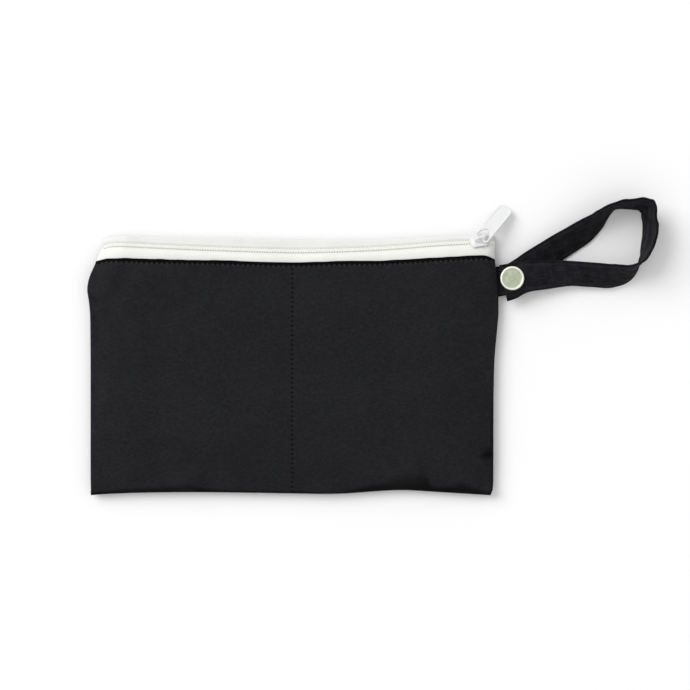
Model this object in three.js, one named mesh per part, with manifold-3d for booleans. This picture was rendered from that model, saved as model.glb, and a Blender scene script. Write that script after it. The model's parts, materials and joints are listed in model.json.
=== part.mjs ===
// A flat zip pouch of black cloth, lying on its back, with a wrist strap snapped into a twisted loop.
// Millimetres, +Z up. The origin is on the table under the middle of the pouch. +X runs towards the
// strap and +Y towards the zip.
import * as THREE from "three";
import { mergeVertices } from "three/addons/utils/BufferGeometryUtils.js";
import Module from "manifold-3d";

const { lerp, clamp, smoothstep, degToRad } = THREE.MathUtils;
const wasm = await Module();
wasm.setup();

// Driving dimensions

const CLOTH = 1.4; // a pouch wall, outer cloth and turned seam together
const TAPE = 1.0; // woven zip tape
const WEBBING = 1.3; // wrist strap, a folded strip sewn along its edges
const GAP = 0.3; // room between pieces that lie on each other

const SEAM_HEIGHT = 3.6; // top of the front panel where it is sewn to the back
const CROWN = 10.6; // top of the front panel in the middle of the pouch
const ZIP_CROWN = 8.8; // top of the front panel along the zip
const ZIP_SLOPE_START = 0.6; // share of the way up at which the front starts to fall towards the zip
const SWELL = 2.2; // how quickly the cloth rises from a seam
const SIDE_REACH = 22; // from a side seam to where the cloth has risen fully
const ZIP_REACH = { left: 12, right: 4 }; // the same along the zip
const BOTTOM_REACH = 20;
const BACK_LIFT = 0.5; // how far the back's sewn edges lift off the table
const BACK_LIFT_REACH = 9;
const BACK_TOP_INSET = 2.2; // from the rolled edge of the zip down to the back panel's top edge
const STITCH_DRAW = 0.5; // how far the middle row of stitches draws the front in
const STITCH_DRAW_REACH = 7;

const ZIP_ROLL = degToRad(24); // the zip lies over towards the back
const CHAIN_DROP = 2.9; // from the panel's top edge down to the middle of the chain
const TAPE_DROP = CLOTH + GAP + TAPE / 2; // from the top of a panel to the middle of a tape under it
const TAPE_TUCK = { front: 4, back: 4.5 }; // how far a tape runs on behind its panel's edge
const TAPE_INSET = 0.3; // from a side seam to the end of a tape
const TAPE_FLAT = { near: 1.7, middle: 2.7, far: 3.6 }; // places from the chain where a tape lies flat
const ROLL_FOOT = { back: 1.6, lift: 0.1 }; // where the rolled tape comes to lie on the back panel
const CHAIN_START = 0.012; // share of the way along at which the chain begins
const CHAIN_END = 1.2; // how far the chain runs into the slider, past its middle

const SLIDER_X = 91.3;
const SLIDER_LENGTH = 8;
const PLATE = { inner: 1.2, outer: 2.1, bottom: 1.9, tail: 2.8, front: 3.3, under: 0.8 };
const PLATE_CORNER = { tail: 1.2, front: 1.8 };
const LIP = { width: 0.6, reach: 0.8, from: -3.6, to: 1.2, sunk: 0.2 };
const POST = { x: 2.4, length: 1.6, width: 2.2 };
const BAIL = { x: 0.8, inside: 4.2, leg: 0.9, height: 2.4, top: 1.0, width: 0.9, root: 0.4 };
const BAIL_CORNER = { inner: 0.3, outer: 1.2, sharp: 0.01 };

const PULL = { angle: degToRad(52.5), thick: 0.96, width: 7.6, length: 22, tip: 2.4, corner: 1.2 };
const EYE = { half: 2.95, near: 0.48, far: 5.6, nearCorner: 0.3, farCorner: 1.0 };

const STRAP_HALF = 7.35; // half the strap's width
const SNAP = { x: 107.6, y: 43.1, hole: 2.4, holeDepth: 12 };

// How finely the curved pieces are divided.
const ROUND_SIDES = 24;
const CORNER_STEPS = 4;
const PANEL_STEPS = { across: 30, up: 17 };
const BACK_STEPS = { across: 21, up: 11 };
const TAPE_STEPS = { front: 7, back: 8 };
const STRAP_STEPS = { along: 88, across: 3 };

// The side seams from the bottom of the pouch to the zip, and how high the front panel's edge is there.
const SIDE_SEAMS = [
  { y: -63.2, left: -99.0, right: 98.0, leftHeight: 3.6, rightHeight: 3.6 },
  { y: -55.0, left: -99.2, right: 98.3, leftHeight: 3.6, rightHeight: 3.6 },
  { y: 0.0, left: -99.2, right: 98.8, leftHeight: 3.6, rightHeight: 3.6 },
  { y: 24.3, left: -99.4, right: 100.8, leftHeight: 3.6, rightHeight: 3.6 },
  { y: 30.0, left: -99.8, right: 101.0, leftHeight: 3.6, rightHeight: 5.6 },
  { y: 40.8, left: -100.8, right: 100.8, leftHeight: 3.8, rightHeight: 5.6 },
  { y: 52.5, left: -95.6, right: 99.4, leftHeight: 7.0, rightHeight: 7.0 },
  { y: 64.0, left: -91.5, right: 98.9, leftHeight: 7.0, rightHeight: 7.0 },
];

// The slightly wavy bottom edge, by the share of the way across.
const BOTTOM_EDGE = [
  { across: 0.0, y: -63.2 },
  { across: 0.04, y: -62.6 },
  { across: 0.12, y: -62.0 },
  { across: 0.25, y: -61.7 },
  { across: 0.4, y: -62.0 },
  { across: 0.5, y: -62.3 },
  { across: 0.615, y: -62.5 },
  { across: 0.766, y: -60.7 },
  { across: 0.873, y: -61.7 },
  { across: 1.0, y: -63.2 },
];

// The zip from left to right: the front panel's top edge, the middle of the chain, and the edge where
// the back tape rolls over.
const ZIP_LINE = [
  { x: -97.0, panel: 51.8, chain: 57.0, roll: 60.5 },
  { x: -90.0, panel: 52.7, chain: 59.8, roll: 63.4 },
  { x: -66.0, panel: 52.4, chain: 58.8, roll: 62.8 },
  { x: -35.0, panel: 51.8, chain: 57.6, roll: 62.1 },
  { x: 0.0, panel: 50.3, chain: 56.7, roll: 61.6 },
  { x: 45.0, panel: 51.3, chain: 58.1, roll: 62.5 },
  { x: 71.0, panel: 53.0, chain: 60.1, roll: 63.7 },
  { x: 84.0, panel: 53.4, chain: 60.8, roll: 64.5 },
  { x: 99.3, panel: 52.9, chain: 60.9, roll: 64.6 },
];

// Soft hollows in the front panel: middle, half length along the turned direction, half width, depth.
const DENTS = [
  { x: 48.0, y: -55.0, turn: 4, long: 19, wide: 7, deep: 2.5 },
  { x: -51.0, y: -57.0, turn: 0, long: 12, wide: 5, deep: 1.6 },
  { x: 91.0, y: -44.0, turn: 12, long: 11, wide: 4, deep: 1.6 },
  { x: -86.0, y: 36.0, turn: 60, long: 16, wide: 5, deep: 1.3 },
];

// The chain's section, from its front edge to its back edge.
const CHAIN_SECTION = [
  { across: -1.4, half: 0.4 },
  { across: -0.8, half: 0.9 },
  { across: 0.8, half: 0.9 },
  { across: 1.4, half: 0.4 },
];

// The strap from its root in the side seam, clockwise round the loop and back to the snap. "low" is the
// height of its lower face or edge, "tilt" how far the edge that starts on the left has turned up.
const STRAP_LINE = [
  { x: 96.7, y: 41.2, low: 2.2, tilt: 0 },
  { x: 100.4, y: 41.5, low: 2.2, tilt: 0 },
  { x: 107.6, y: 43.2, low: 2.2, tilt: 0 },
  { x: 113.6, y: 46.6, low: 2.0, tilt: 3 },
  { x: 119.6, y: 50.6, low: 0.5, tilt: 20 },
  { x: 130.2, y: 57.5, low: 0.3, tilt: 35 },
  { x: 141.3, y: 64.4, low: 0.3, tilt: 41 },
  { x: 148.9, y: 70.2, low: 0.3, tilt: 56 },
  { x: 154.9, y: 76.2, low: 0.3, tilt: 75 },
  { x: 161.1, y: 79.0, low: 0.3, tilt: 80 },
  { x: 165.9, y: 79.3, low: 0.3, tilt: 76 },
  { x: 171.3, y: 79.5, low: 0.3, tilt: 72 },
  { x: 174.0, y: 78.0, low: 0.3, tilt: 66 },
  { x: 174.9, y: 72.4, low: 0.3, tilt: 71 },
  { x: 175.4, y: 65.2, low: 0.3, tilt: 69 },
  { x: 173.9, y: 58.4, low: 0.3, tilt: 76 },
  { x: 170.4, y: 51.3, low: 0.3, tilt: 92 },
  { x: 164.2, y: 45.6, low: 0.9, tilt: 125 },
  { x: 157.3, y: 44.4, low: 1.8, tilt: 135.6 },
  { x: 146.4, y: 45.0, low: 2.8, tilt: 139 },
  { x: 135.3, y: 45.5, low: 3.5, tilt: 144 },
  { x: 124.1, y: 44.8, low: 4.4, tilt: 164 },
  { x: 116.8, y: 44.2, low: 5.7, tilt: 179 },
  { x: 112.6, y: 43.8, low: 5.8, tilt: 180 },
  { x: 107.9, y: 43.0, low: 5.8, tilt: 180, left: 7.7, right: 9.8 },
  { x: 103.0, y: 41.9, low: 5.8, tilt: 180, left: 8.0, right: 10.4 },
];

// The snap's two halves as profiles of radius and height, from the axis out and back to the axis.
const STUD_PROFILE = [
  { r: 0, z: 0.9 },
  { r: 5, z: 0.9 },
  { r: 5, z: 1.9 },
  { r: 2, z: 1.9 },
  { r: 2, z: 3.8 },
  { r: 4.5, z: 3.8 },
  { r: 4.5, z: 4.2 },
  { r: 1.8, z: 4.2 },
  { r: 1.8, z: 5.0 },
  { r: 0, z: 5.0 },
];
const CAP_PROFILE = [
  { r: 0, z: 5.3 },
  { r: 2.2, z: 5.3 },
  { r: 2.2, z: 4.5 },
  { r: 4.5, z: 4.5 },
  { r: 4.5, z: 5.5 },
  { r: 2, z: 5.5 },
  { r: 2, z: 7.4 },
  { r: 5.85, z: 7.4 },
  { r: 5.85, z: 8.2 },
  { r: 5.5, z: 8.6 },
  { r: 5.0, z: 8.6 },
  { r: 4.8, z: 8.4 },
  { r: 0, z: 8.5 },
];

// Colours and finishes

const finish = (color, roughness, metalness) =>
  new THREE.MeshStandardMaterial({ color, roughness, metalness });
const FINISHES = {
  pouchCloth: () => finish(0x232428, 0.9, 0),
  strapCloth: () => finish(0x1b1b20, 0.9, 0),
  zipTape: () => finish(0xf0f1ec, 0.85, 0),
  zipChain: () => finish(0xf4f5ee, 0.5, 0),
  zipMetal: () => finish(0xf6f7f6, 0.35, 0),
  snapMetal: () => finish(0xbcc1a2, 0.35, 0.7),
};

// Helpers

// A smooth curve through one column of a table, read at any value of its key column.
function column(rows, key, name) {
  const at = rows.map((row) => row[key]);
  const value = rows.map((row) => row[name]);
  const last = rows.length - 1;
  const slope = value.map((_, i) => {
    const before = Math.max(i - 1, 0);
    const after = Math.min(i + 1, last);
    return (value[after] - value[before]) / (at[after] - at[before]);
  });
  return (where) => {
    const place = clamp(where, at[0], at[last]);
    const i = Math.min(at.findLastIndex((a) => a <= place), last - 1);
    const span = at[i + 1] - at[i];
    const t = (place - at[i]) / span;
    const rise = value[i + 1] - value[i];
    const bend = (1 - t) * (slope[i] * span - rise) - t * (slope[i + 1] * span - rise);
    return value[i] + t * rise + t * (1 - t) * bend;
  };
}

// Shares from 0 to 1, even, or crowded towards both ends, where a sewn edge curves most.
const even = (steps) => Array.from({ length: steps + 1 }, (_, i) => i / steps);
const crowded = (steps) => even(steps).map((share) => 0.5 - 0.5 * Math.cos(Math.PI * share));

// A closed sheet between an upper and a lower face, each a function of the shares u and v.
function sheetBetween(upper, lower, us, vs) {
  const points = [upper, lower].flatMap((face) => vs.flatMap((v) => us.map((u) => face(u, v))));
  const corner = (face, i, j) => (face * vs.length + j) * us.length + i;
  const faces = [];
  const quad = (a, b, c, d) => faces.push(a, b, c, a, c, d);
  const endU = us.length - 1;
  const endV = vs.length - 1;
  for (let j = 0; j < endV; j++) {
    for (let i = 0; i < endU; i++) {
      quad(corner(0, i, j), corner(0, i + 1, j), corner(0, i + 1, j + 1), corner(0, i, j + 1));
      quad(corner(1, i, j), corner(1, i, j + 1), corner(1, i + 1, j + 1), corner(1, i + 1, j));
    }
    quad(corner(0, 0, j), corner(0, 0, j + 1), corner(1, 0, j + 1), corner(1, 0, j));
    quad(corner(1, endU, j), corner(1, endU, j + 1), corner(0, endU, j + 1), corner(0, endU, j));
  }
  for (let i = 0; i < endU; i++) {
    quad(corner(1, i, 0), corner(1, i + 1, 0), corner(0, i + 1, 0), corner(0, i, 0));
    quad(corner(0, i, endV), corner(0, i + 1, endV), corner(1, i + 1, endV), corner(1, i, endV));
  }
  const sheet = new THREE.BufferGeometry().setFromPoints(points).setIndex(faces);
  sheet.computeVertexNormals();
  return sheet;
}

// A solid for joining and cutting, from a closed geometry.
function solidOf(geometry) {
  const bare = new THREE.BufferGeometry();
  bare.setAttribute("position", geometry.getAttribute("position"));
  bare.setIndex(geometry.getIndex());
  const merged = mergeVertices(bare, 1e-4);
  const vertProperties = merged.getAttribute("position").array;
  const triVerts = new Uint32Array(merged.getIndex().array);
  return new wasm.Manifold(new wasm.Mesh({ numProp: 3, vertProperties, triVerts }));
}

function geometryOf(solid) {
  const mesh = solid.getMesh();
  const geometry = new THREE.BufferGeometry();
  geometry.setAttribute("position", new THREE.BufferAttribute(mesh.vertProperties, 3));
  geometry.setIndex(new THREE.BufferAttribute(mesh.triVerts, 1));
  geometry.computeVertexNormals();
  return geometry;
}

// A flat outline with rounded corners, from corner points that each give their own radius.
function rounded(corners, Outline = THREE.Shape) {
  const outline = new Outline();
  corners.forEach(({ x, y, radius }, i) => {
    const here = new THREE.Vector2(x, y);
    const before = corners.at(i - 1);
    const after = corners[(i + 1) % corners.length];
    const start = here.clone().add(new THREE.Vector2(before.x - x, before.y - y).setLength(radius));
    const end = here.clone().add(new THREE.Vector2(after.x - x, after.y - y).setLength(radius));
    if (i === 0) outline.moveTo(start.x, start.y);
    else outline.lineTo(start.x, start.y);
    outline.quadraticCurveTo(x, y, end.x, end.y);
  });
  outline.closePath();
  return outline;
}

function extruded(outline, from, to) {
  const settings = { depth: to - from, bevelEnabled: false, curveSegments: CORNER_STEPS };
  return new THREE.ExtrudeGeometry(outline, settings).translate(0, 0, from);
}

// A turned solid with its axis along Z.
function turned(profile) {
  const points = profile.map(({ r, z }) => new THREE.Vector2(r, z));
  return new THREE.LatheGeometry(points, ROUND_SIDES).rotateX(Math.PI / 2);
}

function piece(name, geometry, material) {
  const mesh = new THREE.Mesh(geometry, material);
  mesh.name = name;
  return mesh;
}

// The lie of the pouch

const leftSeam = column(SIDE_SEAMS, "y", "left");
const rightSeam = column(SIDE_SEAMS, "y", "right");
const leftHeight = column(SIDE_SEAMS, "y", "leftHeight");
const rightHeight = column(SIDE_SEAMS, "y", "rightHeight");
const bottomEdge = column(BOTTOM_EDGE, "across", "y");
const panelEdge = column(ZIP_LINE, "x", "panel");
const chainLine = column(ZIP_LINE, "x", "chain");
const rollLine = column(ZIP_LINE, "x", "roll");

const ZIP_LEFT = ZIP_LINE[0].x;
const ZIP_RIGHT = ZIP_LINE.at(-1).x;
const ACROSS = crowded(PANEL_STEPS.across);

const zipX = (u) => lerp(ZIP_LEFT, ZIP_RIGHT, u);
const seamX = (u, y, inset = 0) => lerp(leftSeam(y) + inset, rightSeam(y) - inset, u);
const swell = (share) => 1 - (1 - clamp(share, 0, 1)) ** SWELL;

// How deep the soft hollows are at a place on the front.
function dentDepth(x, y) {
  return DENTS.reduce((sum, dent) => {
    const away = new THREE.Vector2(x - dent.x, y - dent.y);
    away.rotateAround(new THREE.Vector2(), -degToRad(dent.turn));
    return sum + dent.deep * Math.exp(-((away.x / dent.long) ** 2) - (away.y / dent.wide) ** 2);
  }, 0);
}

// A point on the outside of the front panel: u runs from the left seam to the right, v from the bottom to
// the zip.
function frontPoint(u, v) {
  const y = lerp(bottomEdge(u), panelEdge(zipX(u)), v);
  const x = seamX(u, y);
  const towardsZip = smoothstep(v, ZIP_SLOPE_START, 1);
  const fromLeft = swell((x - leftSeam(y)) / lerp(SIDE_REACH, ZIP_REACH.left, towardsZip));
  const fromRight = swell((rightSeam(y) - x) / lerp(SIDE_REACH, ZIP_REACH.right, towardsZip));
  const risen = fromLeft * fromRight * swell((y - bottomEdge(u)) / BOTTOM_REACH);
  const seam = Math.max(lerp(leftHeight(y), rightHeight(y), u), SEAM_HEIGHT);
  const draw = STITCH_DRAW * Math.exp(-((x / STITCH_DRAW_REACH) ** 2));
  const crown = lerp(CROWN, ZIP_CROWN, towardsZip) - dentDepth(x, y) - draw;
  return new THREE.Vector3(x, y, lerp(seam, crown, risen));
}

// A point on the underside of the back panel.
function backPoint(u, v) {
  const top = rollLine(zipX(u)) - BACK_TOP_INSET;
  const y = lerp(bottomEdge(u), top, v);
  const x = seamX(u, y);
  return new THREE.Vector3(x, y, backLift(x, y, u));
}

// The back lies flat on the table, apart from its sewn edges.
function backLift(x, y, u) {
  const edge = Math.min(x - leftSeam(y), rightSeam(y) - x, y - bottomEdge(u));
  return BACK_LIFT * (1 - smoothstep(edge, 0, BACK_LIFT_REACH));
}

// The middle of the zip's chain at a share of the way along.
function chainPoint(u) {
  const y = chainLine(zipX(u));
  return new THREE.Vector3(seamX(u, y, TAPE_INSET), y, frontPoint(u, 1).z - CHAIN_DROP);
}

// A place in the zip's own plane, which is rolled over about the chain and ends along the side seams.
function inZipPlane(u, across, above) {
  const alongZip = new THREE.Vector3(1, 0, 0);
  const place = new THREE.Vector3(0, across, above);
  place.applyAxisAngle(alongZip, -ZIP_ROLL).add(chainPoint(u));
  return place.setX(seamX(u, place.y, TAPE_INSET));
}

// The share of the way along the chain at a given x.
function chainShare(x) {
  const y = chainLine(x);
  const start = leftSeam(y) + TAPE_INSET;
  const end = rightSeam(y) - TAPE_INSET;
  return (x - start) / (end - start);
}

// Pieces

function frontPanel() {
  const wall = new THREE.Vector3(0, 0, CLOTH);
  const inside = (u, v) => frontPoint(u, v).sub(wall);
  return sheetBetween(frontPoint, inside, ACROSS, crowded(PANEL_STEPS.up));
}

function backPanel() {
  const wall = new THREE.Vector3(0, 0, CLOTH);
  const inside = (u, v) => backPoint(u, v).add(wall);
  return sheetBetween(inside, backPoint, crowded(BACK_STEPS.across), crowded(BACK_STEPS.up));
}

// A zip tape follows one bent line across, worked out anew at each share of the way along. The line is
// drawn in the plane across the zip, and the side seams then give each point its x.
function zipTape(lineAt, steps) {
  const face = (side) => (u, v) => {
    const points = lineAt(u).map((point) => point.setX(0));
    const line = new THREE.CatmullRomCurve3(points, false, "centripetal");
    const tangent = line.getTangent(v);
    const place = line.getPoint(v);
    place.y -= (side * tangent.z * TAPE) / 2;
    place.z += (side * tangent.y * TAPE) / 2;
    place.x = seamX(u, place.y, TAPE_INSET);
    return place;
  };
  return sheetBetween(face(1), face(-1), ACROSS, even(steps));
}

// From under the front panel's top edge to the chain.
function zipperTapeFront() {
  const lineAt = (u) => {
    const edge = frontPoint(u, 1);
    const tuck = frontPoint(u, 1 - TAPE_TUCK.front / (edge.y - bottomEdge(u)));
    edge.z -= TAPE_DROP;
    tuck.z -= TAPE_DROP;
    const { near, middle, far } = TAPE_FLAT;
    return [tuck, edge, ...[far, middle, near].map((across) => inZipPlane(u, -across, 0))];
  };
  return zipTape(lineAt, TAPE_STEPS.front);
}

// From the chain over the rolled edge, down and in behind the back panel's top edge.
function zipperTapeBack() {
  const lineAt = (u) => {
    const roll = rollLine(zipX(u));
    const tuckY = roll - BACK_TOP_INSET - TAPE_TUCK.back;
    const lying = (y) => backLift(seamX(u, y), y, u) + CLOTH + GAP + TAPE / 2;
    const footY = roll - ROLL_FOOT.back;
    const bend = inZipPlane(u, TAPE_FLAT.middle, 0);
    return [
      inZipPlane(u, TAPE_FLAT.near, 0),
      bend,
      new THREE.Vector3(0, roll - TAPE / 2, (lying(tuckY) + bend.z) / 2),
      new THREE.Vector3(0, footY, lying(footY) + ROLL_FOOT.lift),
      new THREE.Vector3(0, tuckY, lying(tuckY)),
    ];
  };
  return zipTape(lineAt, TAPE_STEPS.back);
}

function zipperCoil() {
  const last = chainShare(SLIDER_X + CHAIN_END);
  const face = (side) => (t, v) => {
    const { across, half } = CHAIN_SECTION[Math.round(v * (CHAIN_SECTION.length - 1))];
    return inZipPlane(lerp(CHAIN_START, last, t), across, side * half);
  };
  return sheetBetween(face(1), face(-1), ACROSS, even(CHAIN_SECTION.length - 1));
}

// Two plates with lips along their sides, a post between them and a bail on top, all one casting.
function zipSlider() {
  const half = SLIDER_LENGTH / 2;
  const plate = (narrower) => rounded([
    { x: -half, y: -PLATE.tail + narrower, radius: PLATE_CORNER.tail },
    { x: half, y: -PLATE.front + narrower, radius: PLATE_CORNER.front },
    { x: half, y: PLATE.front - narrower, radius: PLATE_CORNER.front },
    { x: -half, y: PLATE.tail - narrower, radius: PLATE_CORNER.tail },
  ]);
  const lip = (side, narrower, from, to) => {
    const edge = (PLATE.tail - narrower) * side;
    const box = new THREE.BoxGeometry(LIP.to - LIP.from, LIP.width, to - from);
    return box.translate((LIP.from + LIP.to) / 2, edge - (side * LIP.width) / 2, (from + to) / 2);
  };
  const post = new THREE.BoxGeometry(POST.length, POST.width, PLATE.inner + PLATE.outer);
  const lips = [1, -1].flatMap((side) => [
    lip(side, 0, LIP.reach, PLATE.outer - LIP.sunk),
    lip(side, PLATE.under, LIP.sunk - PLATE.bottom, -LIP.reach),
  ]);
  const shapes = [
    extruded(plate(0), PLATE.inner, PLATE.outer),
    extruded(plate(PLATE.under), -PLATE.bottom, -PLATE.inner),
    ...lips,
    post.translate(POST.x, 0, 0),
    bail(),
  ];
  return geometryOf(shapes.map(solidOf).reduce((whole, shape) => whole.add(shape)));
}

// The bail's arch stands along the zip, with its legs sunk into the upper plate.
function bail() {
  const inner = BAIL.inside / 2;
  const outer = inner + BAIL.leg;
  const top = BAIL.height + BAIL.top;
  const arch = rounded([
    { x: -outer, y: -BAIL.root, radius: BAIL_CORNER.sharp },
    { x: -inner, y: -BAIL.root, radius: BAIL_CORNER.sharp },
    { x: -inner, y: BAIL.height, radius: BAIL_CORNER.inner },
    { x: inner, y: BAIL.height, radius: BAIL_CORNER.inner },
    { x: inner, y: -BAIL.root, radius: BAIL_CORNER.sharp },
    { x: outer, y: -BAIL.root, radius: BAIL_CORNER.sharp },
    { x: outer, y: top, radius: BAIL_CORNER.outer },
    { x: -outer, y: top, radius: BAIL_CORNER.outer },
  ]);
  return extruded(arch, -BAIL.width / 2, BAIL.width / 2)
    .rotateX(Math.PI / 2)
    .translate(BAIL.x, 0, PLATE.outer);
}

// A flat tab along +X from the cross bar that hangs in the bail, with an eye for the bail to pass.
function zipPull() {
  const half = PULL.width / 2;
  const tab = rounded([
    { x: -EYE.near, y: -half, radius: PULL.corner },
    { x: PULL.length, y: -half, radius: PULL.tip },
    { x: PULL.length, y: half, radius: PULL.tip },
    { x: -EYE.near, y: half, radius: PULL.corner },
  ]);
  const eye = rounded([
    { x: EYE.near, y: -EYE.half, radius: EYE.nearCorner },
    { x: EYE.near, y: EYE.half, radius: EYE.nearCorner },
    { x: EYE.far, y: EYE.half, radius: EYE.farCorner },
    { x: EYE.far, y: -EYE.half, radius: EYE.farCorner },
  ], THREE.Path);
  tab.holes.push(eye);
  return extruded(tab, -PULL.thick / 2, PULL.thick / 2);
}

// A ribbon that starts and ends flat and turns half over on its way round the loop.
function wristStrap() {
  const places = STRAP_LINE.map(({ x, y, low, tilt }) => {
    const turn = degToRad(tilt);
    const height = Math.abs(Math.sin(turn)) * STRAP_HALF + (Math.abs(Math.cos(turn)) * WEBBING) / 2;
    return new THREE.Vector3(x, y, low + height);
  });
  const turns = STRAP_LINE.map(({ tilt, left = STRAP_HALF, right = STRAP_HALF }) =>
    new THREE.Vector3(degToRad(tilt), left, right));
  const line = new THREE.CatmullRomCurve3(places, false, "centripetal");
  const lie = new THREE.CatmullRomCurve3(turns, false, "catmullrom");
  const face = (side) => (u, v) => {
    const along = line.getTangent(u);
    const { x: tilt, y: left, z: right } = lie.getPoint(u);
    const width = new THREE.Vector3(-along.y, along.x, 0).normalize().applyAxisAngle(along, tilt);
    const out = along.clone().cross(width);
    const place = line.getPoint(u).addScaledVector(width, lerp(-right, left, v));
    return place.addScaledVector(out, (side * WEBBING) / 2);
  };
  const ribbon = sheetBetween(face(1), face(-1), even(STRAP_STEPS.along), even(STRAP_STEPS.across));
  const hole = new THREE.CylinderGeometry(SNAP.hole, SNAP.hole, SNAP.holeDepth, ROUND_SIDES / 2)
    .rotateX(Math.PI / 2)
    .translate(SNAP.x, SNAP.y, SNAP.holeDepth / 2);
  return geometryOf(solidOf(ribbon).subtract(solidOf(hole)));
}

// The pouch

const pouch = new THREE.Group();
pouch.add(
  piece("front_panel", frontPanel(), FINISHES.pouchCloth()),
  piece("back_panel", backPanel(), FINISHES.pouchCloth()),
  piece("zipper_tape_front", zipperTapeFront(), FINISHES.zipTape()),
  piece("zipper_tape_back", zipperTapeBack(), FINISHES.zipTape()),
  piece("zipper_coil", zipperCoil(), FINISHES.zipChain()),
  piece("wrist_strap", wristStrap(), FINISHES.strapCloth()),
);

const slider = new THREE.Group();
slider.position.copy(chainPoint(chainShare(SLIDER_X)));
slider.rotation.x = -ZIP_ROLL;
slider.add(piece("zip_slider", zipSlider(), FINISHES.zipMetal()));
pouch.add(slider);

const pull = piece("zip_pull", zipPull(), FINISHES.zipMetal());
pull.position.set(BAIL.x, 0, PLATE.outer + BAIL.height / 2);
pull.rotation.z = PULL.angle;
slider.add(pull);

const snap = new THREE.Group();
snap.position.set(SNAP.x, SNAP.y, 0);
snap.add(
  piece("snap_cap", turned(CAP_PROFILE), FINISHES.snapMetal()),
  piece("snap_stud", turned(STUD_PROFILE), FINISHES.snapMetal()),
);
pouch.add(snap);

export default pouch;
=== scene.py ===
"""The looks of a flat black zip pouch with a wrist strap snapped into a twisted loop.

Sizes are in millimetres, in the part's own frame, and become metres when a mesh is written.
"""

import json
import math

import bpy
import numpy as np
from mathutils import Matrix, Vector


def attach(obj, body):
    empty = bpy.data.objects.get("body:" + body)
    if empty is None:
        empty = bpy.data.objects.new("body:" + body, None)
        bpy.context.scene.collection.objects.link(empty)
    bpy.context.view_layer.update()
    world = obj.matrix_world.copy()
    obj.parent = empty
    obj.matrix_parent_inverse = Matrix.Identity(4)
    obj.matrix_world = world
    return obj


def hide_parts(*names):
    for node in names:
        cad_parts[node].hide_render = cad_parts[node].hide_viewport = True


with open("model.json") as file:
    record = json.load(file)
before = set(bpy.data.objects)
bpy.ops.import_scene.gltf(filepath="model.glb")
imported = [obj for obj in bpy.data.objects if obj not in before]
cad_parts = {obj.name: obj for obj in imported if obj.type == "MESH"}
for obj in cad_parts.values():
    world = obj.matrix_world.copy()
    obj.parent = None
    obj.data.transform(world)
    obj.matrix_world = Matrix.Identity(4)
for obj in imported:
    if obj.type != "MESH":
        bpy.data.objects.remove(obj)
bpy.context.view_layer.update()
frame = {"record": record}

MM = 0.001

# The photograph's view: straight down from above the pouch

CAMERA_PLACE = (25.7, 10.4, 946.4)
CAMERA_LENS = 100.0
CAMERA_SENSOR = 36.0

# Light and floor

KEY_PLACE = (-5800.0, 4050.0, 5450.0)
KEY_SIZE = 6000.0
KEY_WATTS = 560.0
FILL_STRENGTH = 0.73
FLOOR_SIDE = 16000.0
FLOOR_DROP = 0.06

# The pouch's cloth

FRONT_CLOTH = 0.92
BACK_CLOTH = 1.4
SEAM_HEIGHT = 4.8
CROWN = 10.6
ZIP_CROWN = 8.8
ZIP_SLOPE_START = 0.6
SWELL = 1.7
SIDE_REACH = 26.0
ZIP_REACH_LEFT = 12.0
ZIP_REACH_RIGHT = 4.0
BOTTOM_REACH = 30.0
BACK_LIFT = 2.3
BACK_LIFT_REACH = 9.0
BACK_LIFT_HELD = 0.68
BACK_TOP_INSET = 0.7
BACK_PROUD = 0.35
BACK_TUCKED = 0.8
BACK_TUCK_FROM = 36.0
BACK_TUCK_FADE = 14.0
BACK_ROOT_LEFT = 60.0
BACK_ROOT_WIDE = 20.0
BACK_ROOT_LOW = 25.0
BACK_ROOT_TALL = 8.0
BACK_FLAT_FROM = 44.0
BACK_FLAT_FADE = 12.0
PANEL_WIDE = 198.0
PANEL_TALL = 114.0
EDGE_LINES = 5

# Folds, tucks and puckers in the front, and the painted shade in its tucks

FOLDS_FROM_SEAM = 9.0
FOLDS_FROM_ZIP = 6.0
ROLLS_FROM_SIDE = 5.0
PINCHES_FROM_SIDE = 1.2
ROLL_FADE = 8.0
# The painted shade under the bottom edge is full where its band is this high; the painted shade along the
# right seam has this depth, half width, top and fade.
BOTTOM_SHADE_FULL = 2.6
SEAM_SHADE = 0.8
SEAM_SHADE_HALF = 1.1
SEAM_SHADE_TOP = -8.0
SEAM_SHADE_FADE = 20.0
PUCKER_PEAK = 3.2
SWAY = 0.3
SWAY_LENGTH = 62.0
CRUMPLE = 0.055
CRUMPLE_LENGTH = 11.0

# Rows of stitches

MIDDLE_DRAW = 0.5
MIDDLE_DRAW_REACH = 7.0
MIDDLE_GROOVE = 0.16
MIDDLE_GROOVE_HALF = 0.8
MIDDLE_PITCH = 2.32
MIDDLE_STITCH = 1.7
HEM_INSET = 1.1
HEM_GROOVE = 0.28
HEM_GROOVE_HALF = 0.5
HEM_PITCH = 2.48
HEM_STITCH = 1.9
STITCH_SUNK = 0.02
STITCH_RINGS = 8
STITCH_SIDES = 7
THREAD = 0.18
HEM_THREAD_HALF = 0.17
STRAP_THREAD_HALF = 0.16
CHAIN_THREAD_HALF = 0.13
STRAP_STITCH_INSET = 1.7
STRAP_PITCH = 2.3
STRAP_STITCH = 1.6

# The zip's tapes

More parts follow.
